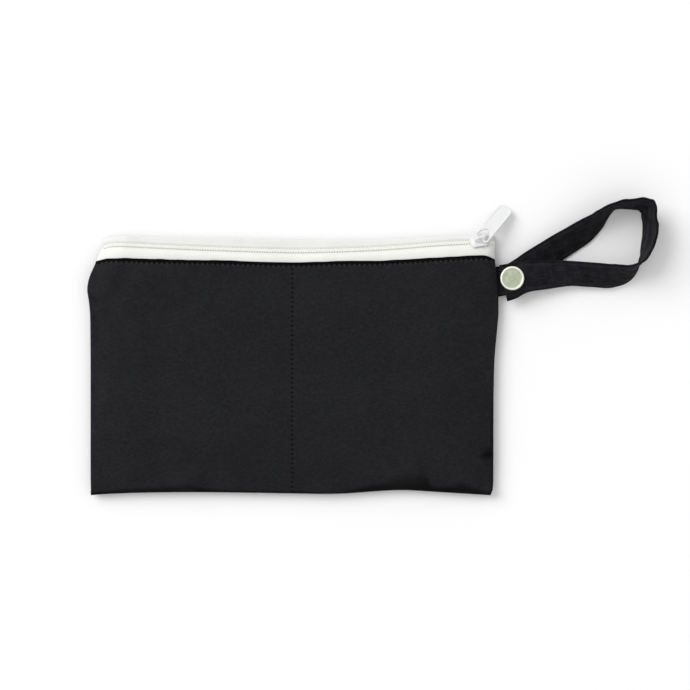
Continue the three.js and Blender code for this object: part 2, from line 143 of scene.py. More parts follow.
ZIP_ROLL = math.radians(24)
ZIP_ROLL_SEWN = math.radians(7)
TAPE = 0.86
TAPE_DROP = 1.38
TAPE_INSET = 0.3
TAPE_TUCKED_IN = 2.0
TAPE_TUCK_FRONT = 4.0
TAPE_TUCK_BACK = 5.4
TAPE_WIDE = 12.5
TAPE_UNDER = 0.62
TAPE_UNDER_FROM = 0.5
TAPE_UNDER_FULL = 0.8
TAPE_TUCK_STEEP = 6.2
TAPE_OFF_BACK = 0.3
TAPE_FOOT = 1.6
TAPE_FOOT_RISE = 0.1
TAPE_ROLL_DROP = 0.9
TAPE_BEND = 2.7
TAPE_LEVEL = 3.6
TAPE_END_FROM = 3.2
TAPE_END_FRONT = 3.4
TAPE_END_BACK = 1.2

# The zip's chain

CHAIN_DROP = 2.9
CHAIN_DROP_SEWN = 1.5
CHAIN_START = 0.003
SLIDER_X = 91.3
CHAIN_END_X = 92.6
CHAIN_PITCH = 1.27
WIRE = 0.34
WIRE_SIDES = 7
LOOP_STEPS = 16
LOOPS_FROM = 0.2
LOOP_MIDDLE = 0.44
LOOP_REACH = 0.68
LOOP_RISE = 0.44
CORD = 0.55
CORD_SIDES = 10
CORDS_FROM = 0.4
CORD_OUT = 0.1
CHAIN_HELD_TO = 6.5
CHAIN_HELD_FADE = 3.0
CHAIN_SPREAD = 1.75
CHAIN_SPREAD_FROM = 2.5
CHAIN_SPREAD_LONG = 6.0
CHAIN_STITCH_ACROSS = 0.93
CHAIN_STITCH_RISE = 0.74
CHAIN_STITCH_FROM = 0.6
CHAIN_STITCH = 1.25
CHAIN_STITCH_END = 4.2

# The slider and the pull tab

PLATE_INNER = 1.2
PLATE_OUTER = 2.1
PLATE_BOTTOM = 1.9
BAIL_X = 0.8
BAIL_INSIDE = 4.2
BAIL_LEG = 0.9
BAIL_HEIGHT = 2.4
BAIL_TOP = 1.0
BAIL_WIDTH = 0.9
SLIDER_TURN = math.radians(16)
PULL_ANGLE = math.radians(52.5)
PULL_THICK = 0.96
PULL_WIDTH = 7.6
PULL_LENGTH = 22.0
PULL_RIM = 0.85
PULL_FACE_THICK = 0.66
PULL_FACE_GAP = 1.2
EYE_HALF = 2.95
EYE_NEAR = 0.48
EYE_SHOULDER = 3.2
EYE_FAR = 6.3
EYE_TIP = 0.95

# The strap and the snap

WEBBING = 1.3
STRAP_HALF = 7.35
STATION_LONG = 8.0
STRAP_RIPPLE = 0.1
STRAP_GROOVE = 0.22
STRAP_HOLLOW = 0.16
SNAP_PLACE = (107.6, 43.1)


def table(names, rows):
    """A table's columns by name."""
    return dict(zip(names.split(), np.array(rows, float).T))


# Puckers along each sewn edge: their height, how long their swells are and the seed of their draw.
PUCKERS = {"left": (0.3, 13, 11), "right": (0.3, 12, 12), "bottom": (0.32, 15, 13), "hem": (0.16, 10, 14)}

# The side seams from the bottom to the zip.
SIDE_SEAMS = table("y left right", [
    (-63.2, -99.0, 97.1), (-61.6, -99.05, 97.9), (-59.0, -99.1, 98.25), (-55.0, -99.2, 98.35),
    (0.0, -99.2, 98.8), (24.3, -99.4, 100.8), (30.0, -99.8, 101.0), (40.8, -100.8, 100.8),
    (52.5, -96.3, 99.6), (64.0, -92.1, 99.6),
])

# The wavy bottom edge by the share of the way across.
BOTTOM_EDGE = table("across y", [
    (0.0, -63.2), (0.04, -62.6), (0.12, -62.0), (0.25, -61.7), (0.4, -62.0), (0.5, -62.3), (0.615, -62.5),
    (0.766, -60.7), (0.873, -61.7), (1.0, -63.2),
])

# The front's top edge, the middle of the chain and the edge where the back tape rolls over.
ZIP_LINE = table("x panel chain roll", [
    (-97.0, 51.6, 58.5, 62.8),
    (-91.0, 52.9, 59.6, 64.2),
    (-66.0, 52.4, 58.6, 63.6),
    (-35.0, 51.8, 57.4, 63.1),
    (0.0, 50.85, 56.5, 62.3),
    (22.0, 51.45, 56.9, 62.2),
    (45.0, 51.8, 57.9, 62.5),
    (71.0, 53.3, 59.9, 64.0),
    (84.0, 53.95, 60.6, 64.6),
    (94.0, 54.2, 60.8, 64.7),
    (99.3, 52.5, 60.8, 64.6),
])

# Where a tape leaves its plane beside the chain and runs on under it. In the slider it lies open, and at
# the zip's right end the front tape lies over the back one.
UNDER_CHAIN = table("across above open front front_above back back_above", [
    (1.85, 0.0, 1.6, 1.7, -0.3, 1.2, -0.3),
    (1.5, -0.08, 1.2, 0.9, 0.05, 0.4, -0.7),
    (1.1, -0.6, 0.8, 0.0, 0.15, -0.5, -0.95),
    (0.15, -1.06, 0.4, -0.9, 0.05, -1.4, -1.0),
])

# Soft hollows in the front: middle, turn, half length, half width and depth.
HOLLOWS = table("x y turn long wide deep", [
    (91.0, -44.0, 12, 11, 4, 0.9),
    (-86.0, 36.0, 60, 16, 5, 1.3),
])

# Long soft folds that the cloth is dragged into: where each starts and ends, its half width and height.
DRAGS = table("x0 y0 x1 y1 wide high", [
    (-97.0, 46.0, -72.0, 14.0, 5.0, 0.75),
    (-94.0, 49.0, -58.0, 33.0, 4.5, 0.55),
    (-95.0, 30.0, -84.0, -6.0, 4.0, 0.4),
    (97.0, 20.0, 80.0, 8.0, 4.0, 0.3),
    (95.0, 46.0, 74.0, 34.0, 4.5, 0.3),
    (-30.0, -20.0, 24.0, -30.0, 9.0, 0.3),
    (-60.0, 16.0, -16.0, 4.0, 8.0, 0.25),
])

# Stretches of the bottom edge where the cloth rolls under: where each starts, is full and ends, how high
# its roll stands and how far from the edge.
ROLLS = table("start full end high reach", [
    (22.0, 52.0, 67.0, 2.6, 7.0),
    (-70.0, -52.0, -42.0, 1.3, 4.0),
    (76.0, 84.0, 93.0, 1.2, 4.5),
    (-99.0, -88.0, -74.0, 0.5, 4.0),
])

# How high above the bottom edge the front is painted in shade, where its cloth rolls under.
BOTTOM_SHADE = table("x high", [
    (-99.0, 1.7), (-88.0, 2.0), (-72.0, 2.6), (-66.0, 2.8), (-57.0, 3.8), (-49.0, 4.4), (-43.0, 2.4),
    (-36.0, 1.6), (-20.0, 1.3), (8.0, 1.1), (20.0, 1.0), (30.0, 2.2), (44.0, 5.2), (58.0, 8.4), (65.0, 9.0),
    (68.5, 4.0), (74.0, 3.6), (79.0, 4.6), (83.0, 6.4), (88.0, 4.2), (93.0, 2.2), (98.0, 1.8),
])

# Short sharp pinches at the seams: where each starts and ends, its half width and depth.
PINCHES = table("x0 y0 x1 y1 wide deep", [
    (98.6, -43.2, 90.4, -44.6, 1.7, 1.4),
    (98.6, -40.6, 94.0, -41.4, 0.8, 0.4),
    (-99.0, 24.0, -94.5, 22.5, 0.9, 0.45),
    (-99.4, 33.5, -93.0, 30.5, 0.9, 0.5),
])

# The strap from its root clockwise round the loop to the snap: the height of its lower face or edge, and
# how far it has turned over.
STRAP_LINE = table("x y low tilt", [
    (96.7, 41.2, 2.2, 0), (100.4, 41.5, 2.2, 0), (107.6, 43.2, 2.2, 0), (113.6, 46.6, 2.0, 3),
    (119.4, 50.9, 0.06, 15), (129.9, 57.9, 0.06, 29), (141.0, 64.8, 0.06, 35), (148.6, 70.6, 0.06, 52),
    (154.6, 76.6, 0.06, 73), (161.0, 79.3, 0.06, 79), (165.9, 79.3, 0.06, 76), (171.3, 79.5, 0.06, 72),
    (174.0, 78.0, 0.06, 66), (174.9, 72.4, 0.06, 71), (175.4, 65.2, 0.06, 69), (173.9, 58.4, 0.06, 76),
    (170.8, 51.2, 0.06, 91), (164.2, 45.6, 0.7, 122), (157.3, 44.3, 1.7, 138), (146.4, 44.8, 2.8, 141),
    (135.3, 45.5, 3.5, 144), (124.1, 44.8, 4.4, 164), (116.8, 44.2, 5.7, 179), (112.6, 43.8, 5.8, 180),
    (107.9, 43.0, 5.8, 180), (103.0, 41.9, 5.8, 180),
])

# How far the strap reaches to its left and right at its last places, where it is cut aslant.
STRAP_END = [(7.35, 7.5), (7.35, 8.4), (7.6, 9.9), (7.8, 10.4)]

# Creases in the strap: the station each crosses at, its slant across the width, half width and depth.
STRAP_CREASES = table("station slant half deep", [
    (5.2, 2.0, 0.9, 0.22), (8.0, -5.0, 1.1, 0.35), (10.6, 4.0, 0.9, 0.4), (12.1, -3.0, 1.0, 0.7),
    (12.9, 5.0, 0.8, 0.4), (16.2, 6.0, 0.8, 0.45), (16.9, 7.0, 0.8, 0.5), (17.6, 6.0, 0.9, 0.35),
    (20.6, 3.0, 1.0, 0.25), (22.2, 2.0, 1.0, 0.3),
])

# The snap's halves as profiles of radius and height, from the axis out and back.
CAP_PROFILE = table("r z", [
    (0.0, 5.3), (2.2, 5.3), (2.2, 4.5), (4.4, 4.5), (4.5, 4.6), (4.5, 5.4), (4.4, 5.5), (2.0, 5.5),
    (2.0, 7.4), (5.5, 7.4), (5.72, 7.46), (5.84, 7.6), (5.85, 7.9), (5.8, 8.2), (5.66, 8.42), (5.44, 8.57),
    (5.2, 8.6), (5.06, 8.57), (4.95, 8.48), (4.88, 8.36), (4.78, 8.27), (4.6, 8.24), (3.0, 8.29),
    (1.5, 8.32), (0.0, 8.33),
])
STUD_PROFILE = table("r z", [
    (0.0, 0.9), (4.6, 0.9), (4.9, 1.0), (5.0, 1.25), (5.0, 1.8), (4.9, 1.9), (2.0, 1.9), (2.0, 3.8),
    (4.4, 3.8), (4.5, 3.9), (4.5, 4.1), (4.4, 4.2), (1.8, 4.2), (1.8, 4.9), (1.7, 5.0), (0.0, 5.0),
])


# Curves and surfaces

def lerp(a, b, t):
    return a + (b - a) * t


def eased(t):
    """A smooth step from 0 to 1."""
    t = np.clip(t, 0, 1)
    return t * t * (3 - 2 * t)


def bell(t):
    return np.exp(-t * t)


def column(rows, key, name):
    """A smooth curve through one column of a table, read at any values of its key column."""
    at, value = rows[key], rows[name]
    slope = np.empty_like(value)
    slope[1:-1] = (value[2:] - value[:-2]) / (at[2:] - at[:-2])
    slope[0] = (value[1] - value[0]) / (at[1] - at[0])
    slope[-1] = (value[-1] - value[-2]) / (at[-1] - at[-2])

    def read(where):
        place = np.clip(where, at[0], at[-1])
        i = np.clip(np.searchsorted(at, place, side="right") - 1, 0, len(at) - 2)
        span = at[i + 1] - at[i]
        t = (place - at[i]) / span
        rise = value[i + 1] - value[i]
        bend = (1 - t) * (slope[i] * span - rise) - t * (slope[i + 1] * span - rise)
        return value[i] + t * rise + t * (1 - t) * bend

    return read


def spline(points, shares, even=False):
    """A smooth curve through a row of points at shares of the way along. Its bends keep close to the
    points, or are even from point to point."""
    row = np.concatenate([[2 * points[0] - points[1]], points, [2 * points[-1] - points[-2]]])
    place = np.clip(shares, 0, 1) * (len(points) - 1)
    i = np.minimum(place.astype(int), len(points) - 2)
    t = (place - i).reshape((-1,) + (1,) * (points.ndim - 1))
    a, b, c, d = (row[i + k] for k in range(4))
    if even:
        leave, arrive = (c - a) / 2, (d - b) / 2
    else:
        ab, bc, cd = (np.sqrt(np.linalg.norm(step, axis=-1, keepdims=True)) for step in (b - a, c - b, d - c))
        leave = ((b - a) / ab - (c - a) / (ab + bc) + (c - b) / bc) * bc
        arrive = ((c - b) / bc - (d - b) / (bc + cd) + (d - c) / cd) * bc
    rise = c - b
    return b + t * rise + t * (1 - t) * ((1 - t) * (leave - rise) - t * (arrive - rise))


def unit(vectors):
    return vectors / np.linalg.norm(vectors, axis=-1, keepdims=True)


def wander(x, y, length, seed, waves=16):
    """A smooth random field of about unit height whose swells are about that long."""
    rng = np.random.default_rng(seed)
    turns = rng.uniform(0, 2 * np.pi, waves)
    phases = rng.uniform(0, 2 * np.pi, waves)
    stretch = rng.uniform(0.7, 1.6, waves)
    total = np.zeros_like(x)
    for turn, phase, longer in zip(turns, phases, stretch):
        total += np.sin(2 * np.pi * (x * np.cos(turn) + y * np.sin(turn)) / (length * longer) + phase)
    return total / np.sqrt(waves / 2)


def lines(length, rim, spacing, finer=None, fade=3.0):
    """Shares of the way along a sheet: crowded round its rounded edges and closer where finer says."""
    middle, half, close = finer or (0, -1, spacing)
    place = rim
    inner = []
    while place < length - rim:
        inner.append(place)
        near = 1 - eased((abs(place - middle) - half) / fade)
        place += lerp(spacing, close, near)
    inner = np.array(inner)
    inner = rim + (inner - rim) * (length - 2 * rim) / (inner[-1] - rim)
    edge = rim * (1 - np.cos(np.linspace(0, np.pi / 2, EDGE_LINES + 1)[:-1]))
    return np.concatenate([edge, inner, length - edge[::-1]]) / length


# Meshes

def piece(name, points, faces, finish, lie=None, tuck=None):
    """A smooth mesh from points in millimetres. lie is each point's place on the flat cloth, along the thread
    or on the turned piece, for the finish to follow, and tuck is how much painted shade falls where the cloth
    is tucked in."""
    mesh = bpy.data.meshes.new(name)
    mesh.from_pydata((points * MM).tolist(), [], faces)
    mesh.polygons.foreach_set("use_smooth", np.ones(len(mesh.polygons), bool))
    flat = np.zeros((len(points), 3), np.float32)
    if lie is None:
        flat[:] = points
    else:
        flat[:, :lie.shape[1]] = lie
    mesh.attributes.new("lie", "FLOAT_VECTOR", "POINT").data.foreach_set("vector", flat.ravel())
    # The painted shade in the tucks goes to the finish as the tuck attribute.
    if tuck is not None:
        mesh.attributes.new("tuck", "FLOAT", "POINT").data.foreach_set("value", tuck.astype(np.float32))
    mesh.update()
    made = bpy.data.objects.new(name, mesh)
    made.data.materials.append(finish)
    bpy.context.scene.collection.objects.link(made)
    return made


def grid_normals(grid):
    return unit(np.cross(np.gradient(grid, axis=0), np.gradient(grid, axis=1)))


def rounding(distance, reach):
    """How much of its thickness a sheet has near its rounded edge."""
    return np.sqrt(1 - (1 - np.clip(distance / reach, 0, 1)) ** 2)


def closed_sheet(name, middle, half, lie, finish, tuck=None):
    """A sheet with an upper and a lower face that meet at its edges, where half its thickness is 0."""
    rows, columns = half.shape
    normal = grid_normals(middle)
    upper = middle + normal * half[..., None]
    lower = middle - normal * half[..., None]
    up = np.arange(rows * columns).reshape(rows, columns)
    low = up.copy()
    low[1:-1, 1:-1] = rows * columns + np.arange((rows - 2) * (columns - 2)).reshape(rows - 2, columns - 2)

    def both(grid):
        """Values for the upper face's points and then for the lower face's own."""
        own = grid[1:-1, 1:-1].reshape((rows - 2) * (columns - 2), -1)
        return np.concatenate([grid.reshape(rows * columns, -1), own])

    points = np.concatenate([upper.reshape(-1, 3), lower[1:-1, 1:-1].reshape(-1, 3)])
    points[:, 2] = np.maximum(points[:, 2], 0)
    above = np.stack([up[:-1, :-1], up[1:, :-1], up[1:, 1:], up[:-1, 1:]], -1).reshape(-1, 4)
    below = np.stack([low[:-1, :-1], low[:-1, 1:], low[1:, 1:], low[1:, :-1]], -1).reshape(-1, 4)
    # Painted shade in the tucks, on both faces.
    tucked = None if tuck is None else both(tuck).ravel()
    return piece(name, points, np.concatenate([above, below]).tolist(), finish, both(lie), tucked)


def ring_faces(rings, sides, first=0):
    """Faces of a tube of rings of points with closed ends."""
    index = first + np.arange(rings * sides).reshape(rings, sides)
    after = np.roll(index, -1, axis=1)
    walls = np.stack([index[:-1], after[:-1], after[1:], index[1:]], -1).reshape(-1, 4).tolist()
    return walls + [index[0, ::-1].tolist(), index[-1].tolist()]


def tubes(name, paths, outs, radius, sides, finish):
    """Round tubes, one along each path, as one mesh. outs point away from each path's inside."""
    points, faces, lie = [], [], []
    turns = 2 * np.pi * np.arange(sides) / sides
    first = 0
    for path, out in zip(paths, outs):
        along = unit(np.gradient(path, axis=0))
        out = unit(out - along * np.sum(out * along, axis=-1, keepdims=True))
        side = np.cross(along, out)
        thick = np.broadcast_to(radius, len(path))[:, None, None]
        spoke = out[:, None] * np.cos(turns)[:, None] + side[:, None] * np.sin(turns)[:, None]
        points.append((path[:, None] + spoke * thick).reshape(-1, 3))
        run = np.concatenate([[0], np.cumsum(np.linalg.norm(np.diff(path, axis=0), axis=1))])
        lie.append(np.stack(np.broadcast_arrays(run[:, None], turns[None] / (2 * np.pi)), -1).reshape(-1, 2))
        faces += ring_faces(len(path), sides, first)
        first += len(path) * sides
    return piece(name, np.concatenate(points), faces, finish, np.concatenate(lie))


def stitch_row(name, places, along, up, length, finish, dip=0.22, thread=THREAD):
    """Short threads, one at each place, which go down into the cloth at both ends."""
    share = np.linspace(-1, 1, STITCH_RINGS)
    paths = [p + a * share[:, None] * length / 2 - u * dip * share[:, None] ** 4
             for p, a, u in zip(places, unit(along), up)]
    outs = [np.broadcast_to(u, (len(share), 3)) for u in up]
    return tubes(name, paths, outs, thread * np.sqrt(1.02 - share ** 6), STITCH_SIDES, finish)


def turned(name, profile, place, finish, sides=80):
    """A turned piece with its axis upright."""
    turns = 2 * np.pi * np.arange(sides) / sides
    r, z = profile["r"][1:-1], profile["z"][1:-1]
    ring = np.stack([r[:, None] * np.cos(turns), r[:, None] * np.sin(turns),
                     np.broadcast_to(z[:, None], (len(r), sides))], -1)
    ends = np.array([[0, 0, profile["z"][0]], [0, 0, profile["z"][-1]]])
    local = np.concatenate([ring.reshape(-1, 3), ends])
    first, last = len(local) - 2, len(local) - 1
    faces = ring_faces(len(r), sides)[:-2]
    edge = (len(r) - 1) * sides
    for k in range(sides):
        after = (k + 1) % sides
        faces.append([first, after, k])
        faces.append([last, edge + k, edge + after])
    return piece(name, local + [*place, 0], faces, finish, local)


# The lie of the pouch

bottom_shade_height = column(BOTTOM_SHADE, "x", "high")
left_seam = column(SIDE_SEAMS, "y", "left")
right_seam = column(SIDE_SEAMS, "y", "right")
bottom_edge = column(BOTTOM_EDGE, "across", "y")
panel_edge = column(ZIP_LINE, "x", "panel")
chain_line = column(ZIP_LINE, "x", "chain")
roll_line = column(ZIP_LINE, "x", "roll")


def zip_x(u):
    return lerp(ZIP_LINE["x"][0], ZIP_LINE["x"][-1], u)


def seam_x(u, y, inset=0.0):
    return lerp(left_seam(y) + inset, right_seam(y) - inset, u)


def swell(share):
    return 1 - (1 - np.clip(share, 0, 1)) ** SWELL


def hollows(x, y):
    """How deep the soft hollows are."""
    deep = np.zeros_like(x)
    for hx, hy, turn, long, wide, depth in zip(*HOLLOWS.values()):
        c, s = math.cos(math.radians(turn)), math.sin(math.radians(turn))
        along = (x - hx) * c + (y - hy) * s
        across = (y - hy) * c - (x - hx) * s
        deep += depth * bell(along / long) * bell(across / wide)
    return deep


def beside(x, y, x0, y0, x1, y1):
    """How far places are along a line, as a share of it, and how far across from it."""
    long = math.hypot(x1 - x0, y1 - y0)
    c, s = (x1 - x0) / long, (y1 - y0) / long
    return ((x - x0) * c + (y - y0) * s) / long, (y - y0) * c - (x - x0) * s


def drags(x, y):
    """How high the long soft folds stand."""
    high = np.zeros_like(x)
    for *line, wide, height in zip(*DRAGS.values()):
        share, across = beside(x, y, *line)
        taper = eased(share * 3 + 0.5) * eased((1 - share) * 2 + 0.3)
        high += height * taper * bell(across / wide)
    return high


def rolls(x, from_bottom):
    """How high the cloth stands where it rolls under at the bottom edge."""
    high = np.zeros_like(x)
    for start, full, end, height, reach in zip(*ROLLS.values()):
        along = eased((x - start) / (full - start)) * eased((end - x) / (end - full) * 2.2)
        past = bell((from_bottom - reach) / ROLL_FADE)
        lip = np.where(from_bottom < reach, eased(from_bottom / reach), past)
        high += height * along * lip
    return high


def pinches(x, y):
    """How deep the short pinches at the seams are."""
    deep = np.zeros_like(x)
    for *line, wide, depth in zip(*PINCHES.values()):
        share, across = beside(x, y, *line)
        deep += depth * eased((1 - share) * 1.6) * eased(share * 4 + 1) * np.exp(-np.abs(across) / wide)
    return deep


def tucked(x, y, from_bottom, from_right):
    """How much painted shade the front gets where it is tucked in: under its bottom edge, in the pinches and
    along the right seam.
    """
    # Painted shade: a band above the bottom edge where the cloth rolls under, the pinch creases, and a strip
    # along the lower right seam.
    high = bottom_shade_height(x)
    under = eased(high / BOTTOM_SHADE_FULL + 0.3) * (1 - eased((from_bottom / high - 0.25) / 0.85))
    pinched = np.clip(pinches(x, y) * 1.1, 0, 1)
    seam = SEAM_SHADE * bell(from_right / SEAM_SHADE_HALF) * eased((SEAM_SHADE_TOP - y) / SEAM_SHADE_FADE)
    return np.maximum(np.maximum(under, pinched), seam)


def puckers(edge, distance, first, second):
    """How high a sewn edge gathers the cloth at a distance from it: not at the seam itself."""
    high, length, seed = PUCKERS[edge]
    share = np.clip(distance, 0, None) / PUCKER_PEAK
    return high * (share * np.exp(1 - share)) * wander(first, second, length, seed)


def front_outside(u, v, fine=True):
    """Points on the outside of the front, from the left seam to the right and from the bottom to the zip."""
    bottom, top = bottom_edge(u), panel_edge(zip_x(u))
    y = lerp(bottom, top, v)
    left, right = left_seam(y), right_seam(y)
    x = lerp(left, right, u)
    towards_zip = eased((v - ZIP_SLOPE_START) / (1 - ZIP_SLOPE_START))
    from_left = swell((x - left) / lerp(SIDE_REACH, ZIP_REACH_LEFT, towards_zip))
    from_right = swell((right - x) / lerp(SIDE_REACH, ZIP_REACH_RIGHT, towards_zip))
    risen = from_left * from_right * swell((y - bottom) / BOTTOM_REACH)
    crown = lerp(CROWN, ZIP_CROWN, towards_zip) - hollows(x, y)
    crown = crown - MIDDLE_DRAW * bell(x / MIDDLE_DRAW_REACH)
    z = lerp(SEAM_HEIGHT, crown, risen)
    if fine:
        z = z + front_folds(x, y, x - left, right - x, y - bottom, top - y)
    return np.stack(np.broadcast_arrays(x, y, z), -1)


def front_folds(x, y, from_left, from_right, from_bottom, from_top):
    """How far the cloth stands off its even swell: puckers, drags, and the two rows of stitches."""
    from_side = np.minimum(from_left, from_right)
    edge = np.minimum(from_side, from_bottom)
    free = eased(edge / FOLDS_FROM_SEAM) * eased(from_top / FOLDS_FROM_ZIP)
    lift = free * (drags(x, y) + SWAY * wander(x, y, SWAY_LENGTH, 3))
    lift += rolls(x, from_bottom) * eased(from_side / ROLLS_FROM_SIDE)
    lift -= pinches(x, y) * eased(from_side / PINCHES_FROM_SIDE)
    lift += free * CRUMPLE * wander(x, y, CRUMPLE_LENGTH, 5)
    lift += puckers("left", from_left, y * 0.3 + x, y)
    lift += puckers("right", from_right, y, y * 0.3 + x)
    lift += puckers("bottom", from_bottom, x, x * 0.2 + y)
    lift += puckers("hem", from_top, x, x * 0.2 + y)
    lift -= eased(from_bottom / 2) * eased(from_top / 3) * MIDDLE_GROOVE * bell(x / MIDDLE_GROOVE_HALF)
    lift -= HEM_GROOVE * bell((from_top - HEM_INSET) / HEM_GROOVE_HALF)
    return lift


def back_lift(x, y, u):
    """How far the back's sewn edges are lifted: less at the strap's root, and not at the zip."""
    edge = np.minimum(np.minimum(x - left_seam(y), right_seam(y) - x), y - bottom_edge(u))
    root = eased((x - BACK_ROOT_LEFT) / BACK_ROOT_WIDE) * eased((y - BACK_ROOT_LOW) / BACK_ROOT_TALL)
    free = (1 - BACK_LIFT_HELD * root) * (1 - eased((y - BACK_FLAT_FROM) / BACK_FLAT_FADE))
    return BACK_LIFT * free * (1 - eased(edge / BACK_LIFT_REACH))


def back_inside(u, v):
    """Points on the middle of the back's wall, which reaches a little past the front's sewn edges."""
    top = roll_line(zip_x(u)) - BACK_TOP_INSET
    y = lerp(bottom_edge(u) - BACK_PROUD, top, v)
    inset = lerp(-BACK_PROUD, BACK_TUCKED, eased((y - BACK_TUCK_FROM) / BACK_TUCK_FADE))
    x = seam_x(u, y, inset)
    z = BACK_CLOTH / 2 + back_lift(x, y, u)
    return np.stack(np.broadcast_arrays(x, y, z), -1)


def zip_risen(u):
    """The height of the front's edge at the zip, and the share of the way that it has risen from the zip's
    sewn ends, where the zip lies flat between the front and the back."""
    z = front_outside(u, np.ones_like(u), fine=False)[..., 2]
    return z, np.clip((z - SEAM_HEIGHT) / (ZIP_CROWN - MIDDLE_DRAW - SEAM_HEIGHT), 0, 1)


def chain_point(u):
    """The middle of the zip's chain."""
    y = chain_line(zip_x(u))
    z, risen = zip_risen(u)
    return np.stack([seam_x(u, y, TAPE_INSET), y, z - lerp(CHAIN_DROP_SEWN, CHAIN_DROP, risen)], -1)


def chain_share(x):
    """The share of the way along the chain at a given x."""
    y = chain_line(x)
    start, end = left_seam(y) + TAPE_INSET, right_seam(y) - TAPE_INSET
    return (x - start) / (end - start)


def in_zip_plane(u, across, above):
    """A place in the zip's own plane, which is rolled over about the chain."""
    roll = lerp(ZIP_ROLL_SEWN, ZIP_ROLL, zip_risen(u)[1])
    c, s = np.cos(roll), np.sin(roll)
    place = chain_point(u)
    place[..., 1] += across * c + above * s
    place[..., 2] += above * c - across * s
    return place


# Finishes

class Value:
    """A number that changes over a surface. Sums on it add the nodes that work them out."""

    def __init__(self, finish, socket):
        self.finish = finish
        self.socket = socket

    def maths(self, operation, *terms):
        return self.finish.node("ShaderNodeMath", {"operation": operation}, dict(enumerate(terms)))

    def __add__(self, other):
        return self.maths("ADD", self, other)

    def __radd__(self, other):
        return self.maths("ADD", other, self)

    def __sub__(self, other):
        return self.maths("SUBTRACT", self, other)

    def __rsub__(self, other):
        return self.maths("SUBTRACT", other, self)

    def __mul__(self, other):
        return self.maths("MULTIPLY", self, other)

    def __rmul__(self, other):
        return self.maths("MULTIPLY", other, self)

    def __truediv__(self, other):
        return self.maths("DIVIDE", self, other)

    def __abs__(self):
        return self.maths("ABSOLUTE", self)

    def sine(self):
        return self.maths("SINE", self)

    def larger(self, other):
        return self.maths("MAXIMUM", self, other)

    def rising(self, low, high):
        """0 below low, 1 above high and smooth between them."""
        sockets = {"Value": self, "From Min": low, "From Max": high}
        return self.finish.node("ShaderNodeMapRange", {"interpolation_type": "SMOOTHSTEP"}, sockets)


class Finish:
    """One material: a shader with fixed settings, and what changes over the surface."""

    def __init__(self, name, **fixed):
        self.material = bpy.data.materials.new(name)
        self.material.use_nodes = True
        self.tree = self.material.node_tree
        self.shader = self.tree.nodes["Principled BSDF"]
        for socket, value in fixed.items():
            self.shader.inputs[socket.replace("_", " ")].default_value = value

    def node(self, kind, settings, sockets, output=0):
        made = self.tree.nodes.new(kind)
        for name, value in settings.items():
            setattr(made, name, value)
        for name, value in sockets.items():
            self.feed(made.inputs[name], value)
        return Value(self, made.outputs[output])

    def feed(self, socket, value):
        if isinstance(value, Value):
            self.tree.links.new(value.socket, socket)
        elif socket.type == "RGBA":
            socket.default_value = (*value, 1)
        else:
            socket.default_value = value

    def lie(self):
        """The place on the flat cloth, along the thread or on the casting, in millimetres."""
        return self.node("ShaderNodeAttribute", {"attribute_name": "lie"}, {}, "Vector")

    def parts(self, where, axes):
        """Some of the three parts of a place."""
        return [self.node("ShaderNodeSeparateXYZ", {}, {0: where}, axis) for axis in axes]

    def drawn_out(self, where, shares):
        """A place whose three parts are multiplied by shares."""
        return self.node("ShaderNodeVectorMath", {"operation": "MULTIPLY"}, {0: where, 1: shares}, "Vector")

    def mottle(self, where, length, detail=2.0, rough=0.5):
        """Soft random patches about that many millimetres long, from 0 to 1."""
        sockets = {"Vector": where, "Scale": 1 / length, "Detail": detail, "Roughness": rough}
        return self.node("ShaderNodeTexNoise", {}, sockets)

    def blend(self, amount, low, high):
        """A colour between two colours."""
        sockets = {"Factor": amount, 6: low, 7: high}
        return self.node("ShaderNodeMix", {"data_type": "RGBA"}, sockets, 2)

    def colour(self, value):
        self.feed(self.shader.inputs["Base Color"], value)

    def roughness(self, value):
        self.feed(self.shader.inputs["Roughness"], value)

    def relief(self, height, depth):
        """Fine relief, depth millimetres deep."""
        sockets = {"Height": height, "Strength": 1.0, "Distance": depth * MM}
        self.feed(self.shader.inputs["Normal"], self.node("ShaderNodeBump", {}, sockets))


def plain_weave(along, across, pitch):
    """Threads over and under each other, from 0 in the gaps to about 1 on the crowns."""
    one = (along * (math.pi / pitch)).sine()
    other = (across * (math.pi / pitch)).sine()
    over = one * other * 0.38
    return (abs(other) * (over + 0.62)).larger(abs(one) * (0.62 - over))


def black_cloth(name, pitch, low, high, patch, patchy):
    """Matt black cloth in a plain weave with faded patches: its finish, its relief and its colour."""
    finish = Finish(name, Specular_IOR_Level=0.07, Sheen_Weight=0.04, Sheen_Roughness=0.5)
    where = finish.lie()
    along, across = finish.parts(where, "XY")
    uneven = finish.mottle(where, 2.2)
    threads = plain_weave(along + uneven * 0.12, across + uneven * 0.1, pitch)
    bloom = finish.mottle(where, patch, 3.0)
    grain = finish.mottle(where, 0.62, 1.0)
    nap = finish.mottle(where, 1.9, 1.0) - 0.5
    tone = threads * 0.3 + grain + nap * 0.6 + (bloom - 0.5) * patchy - 0.25
    finish.roughness(0.95 - threads * 0.12)
    return finish, threads + grain * 0.6, finish.blend(tone.rising(-0.1, 1.1), low, high)


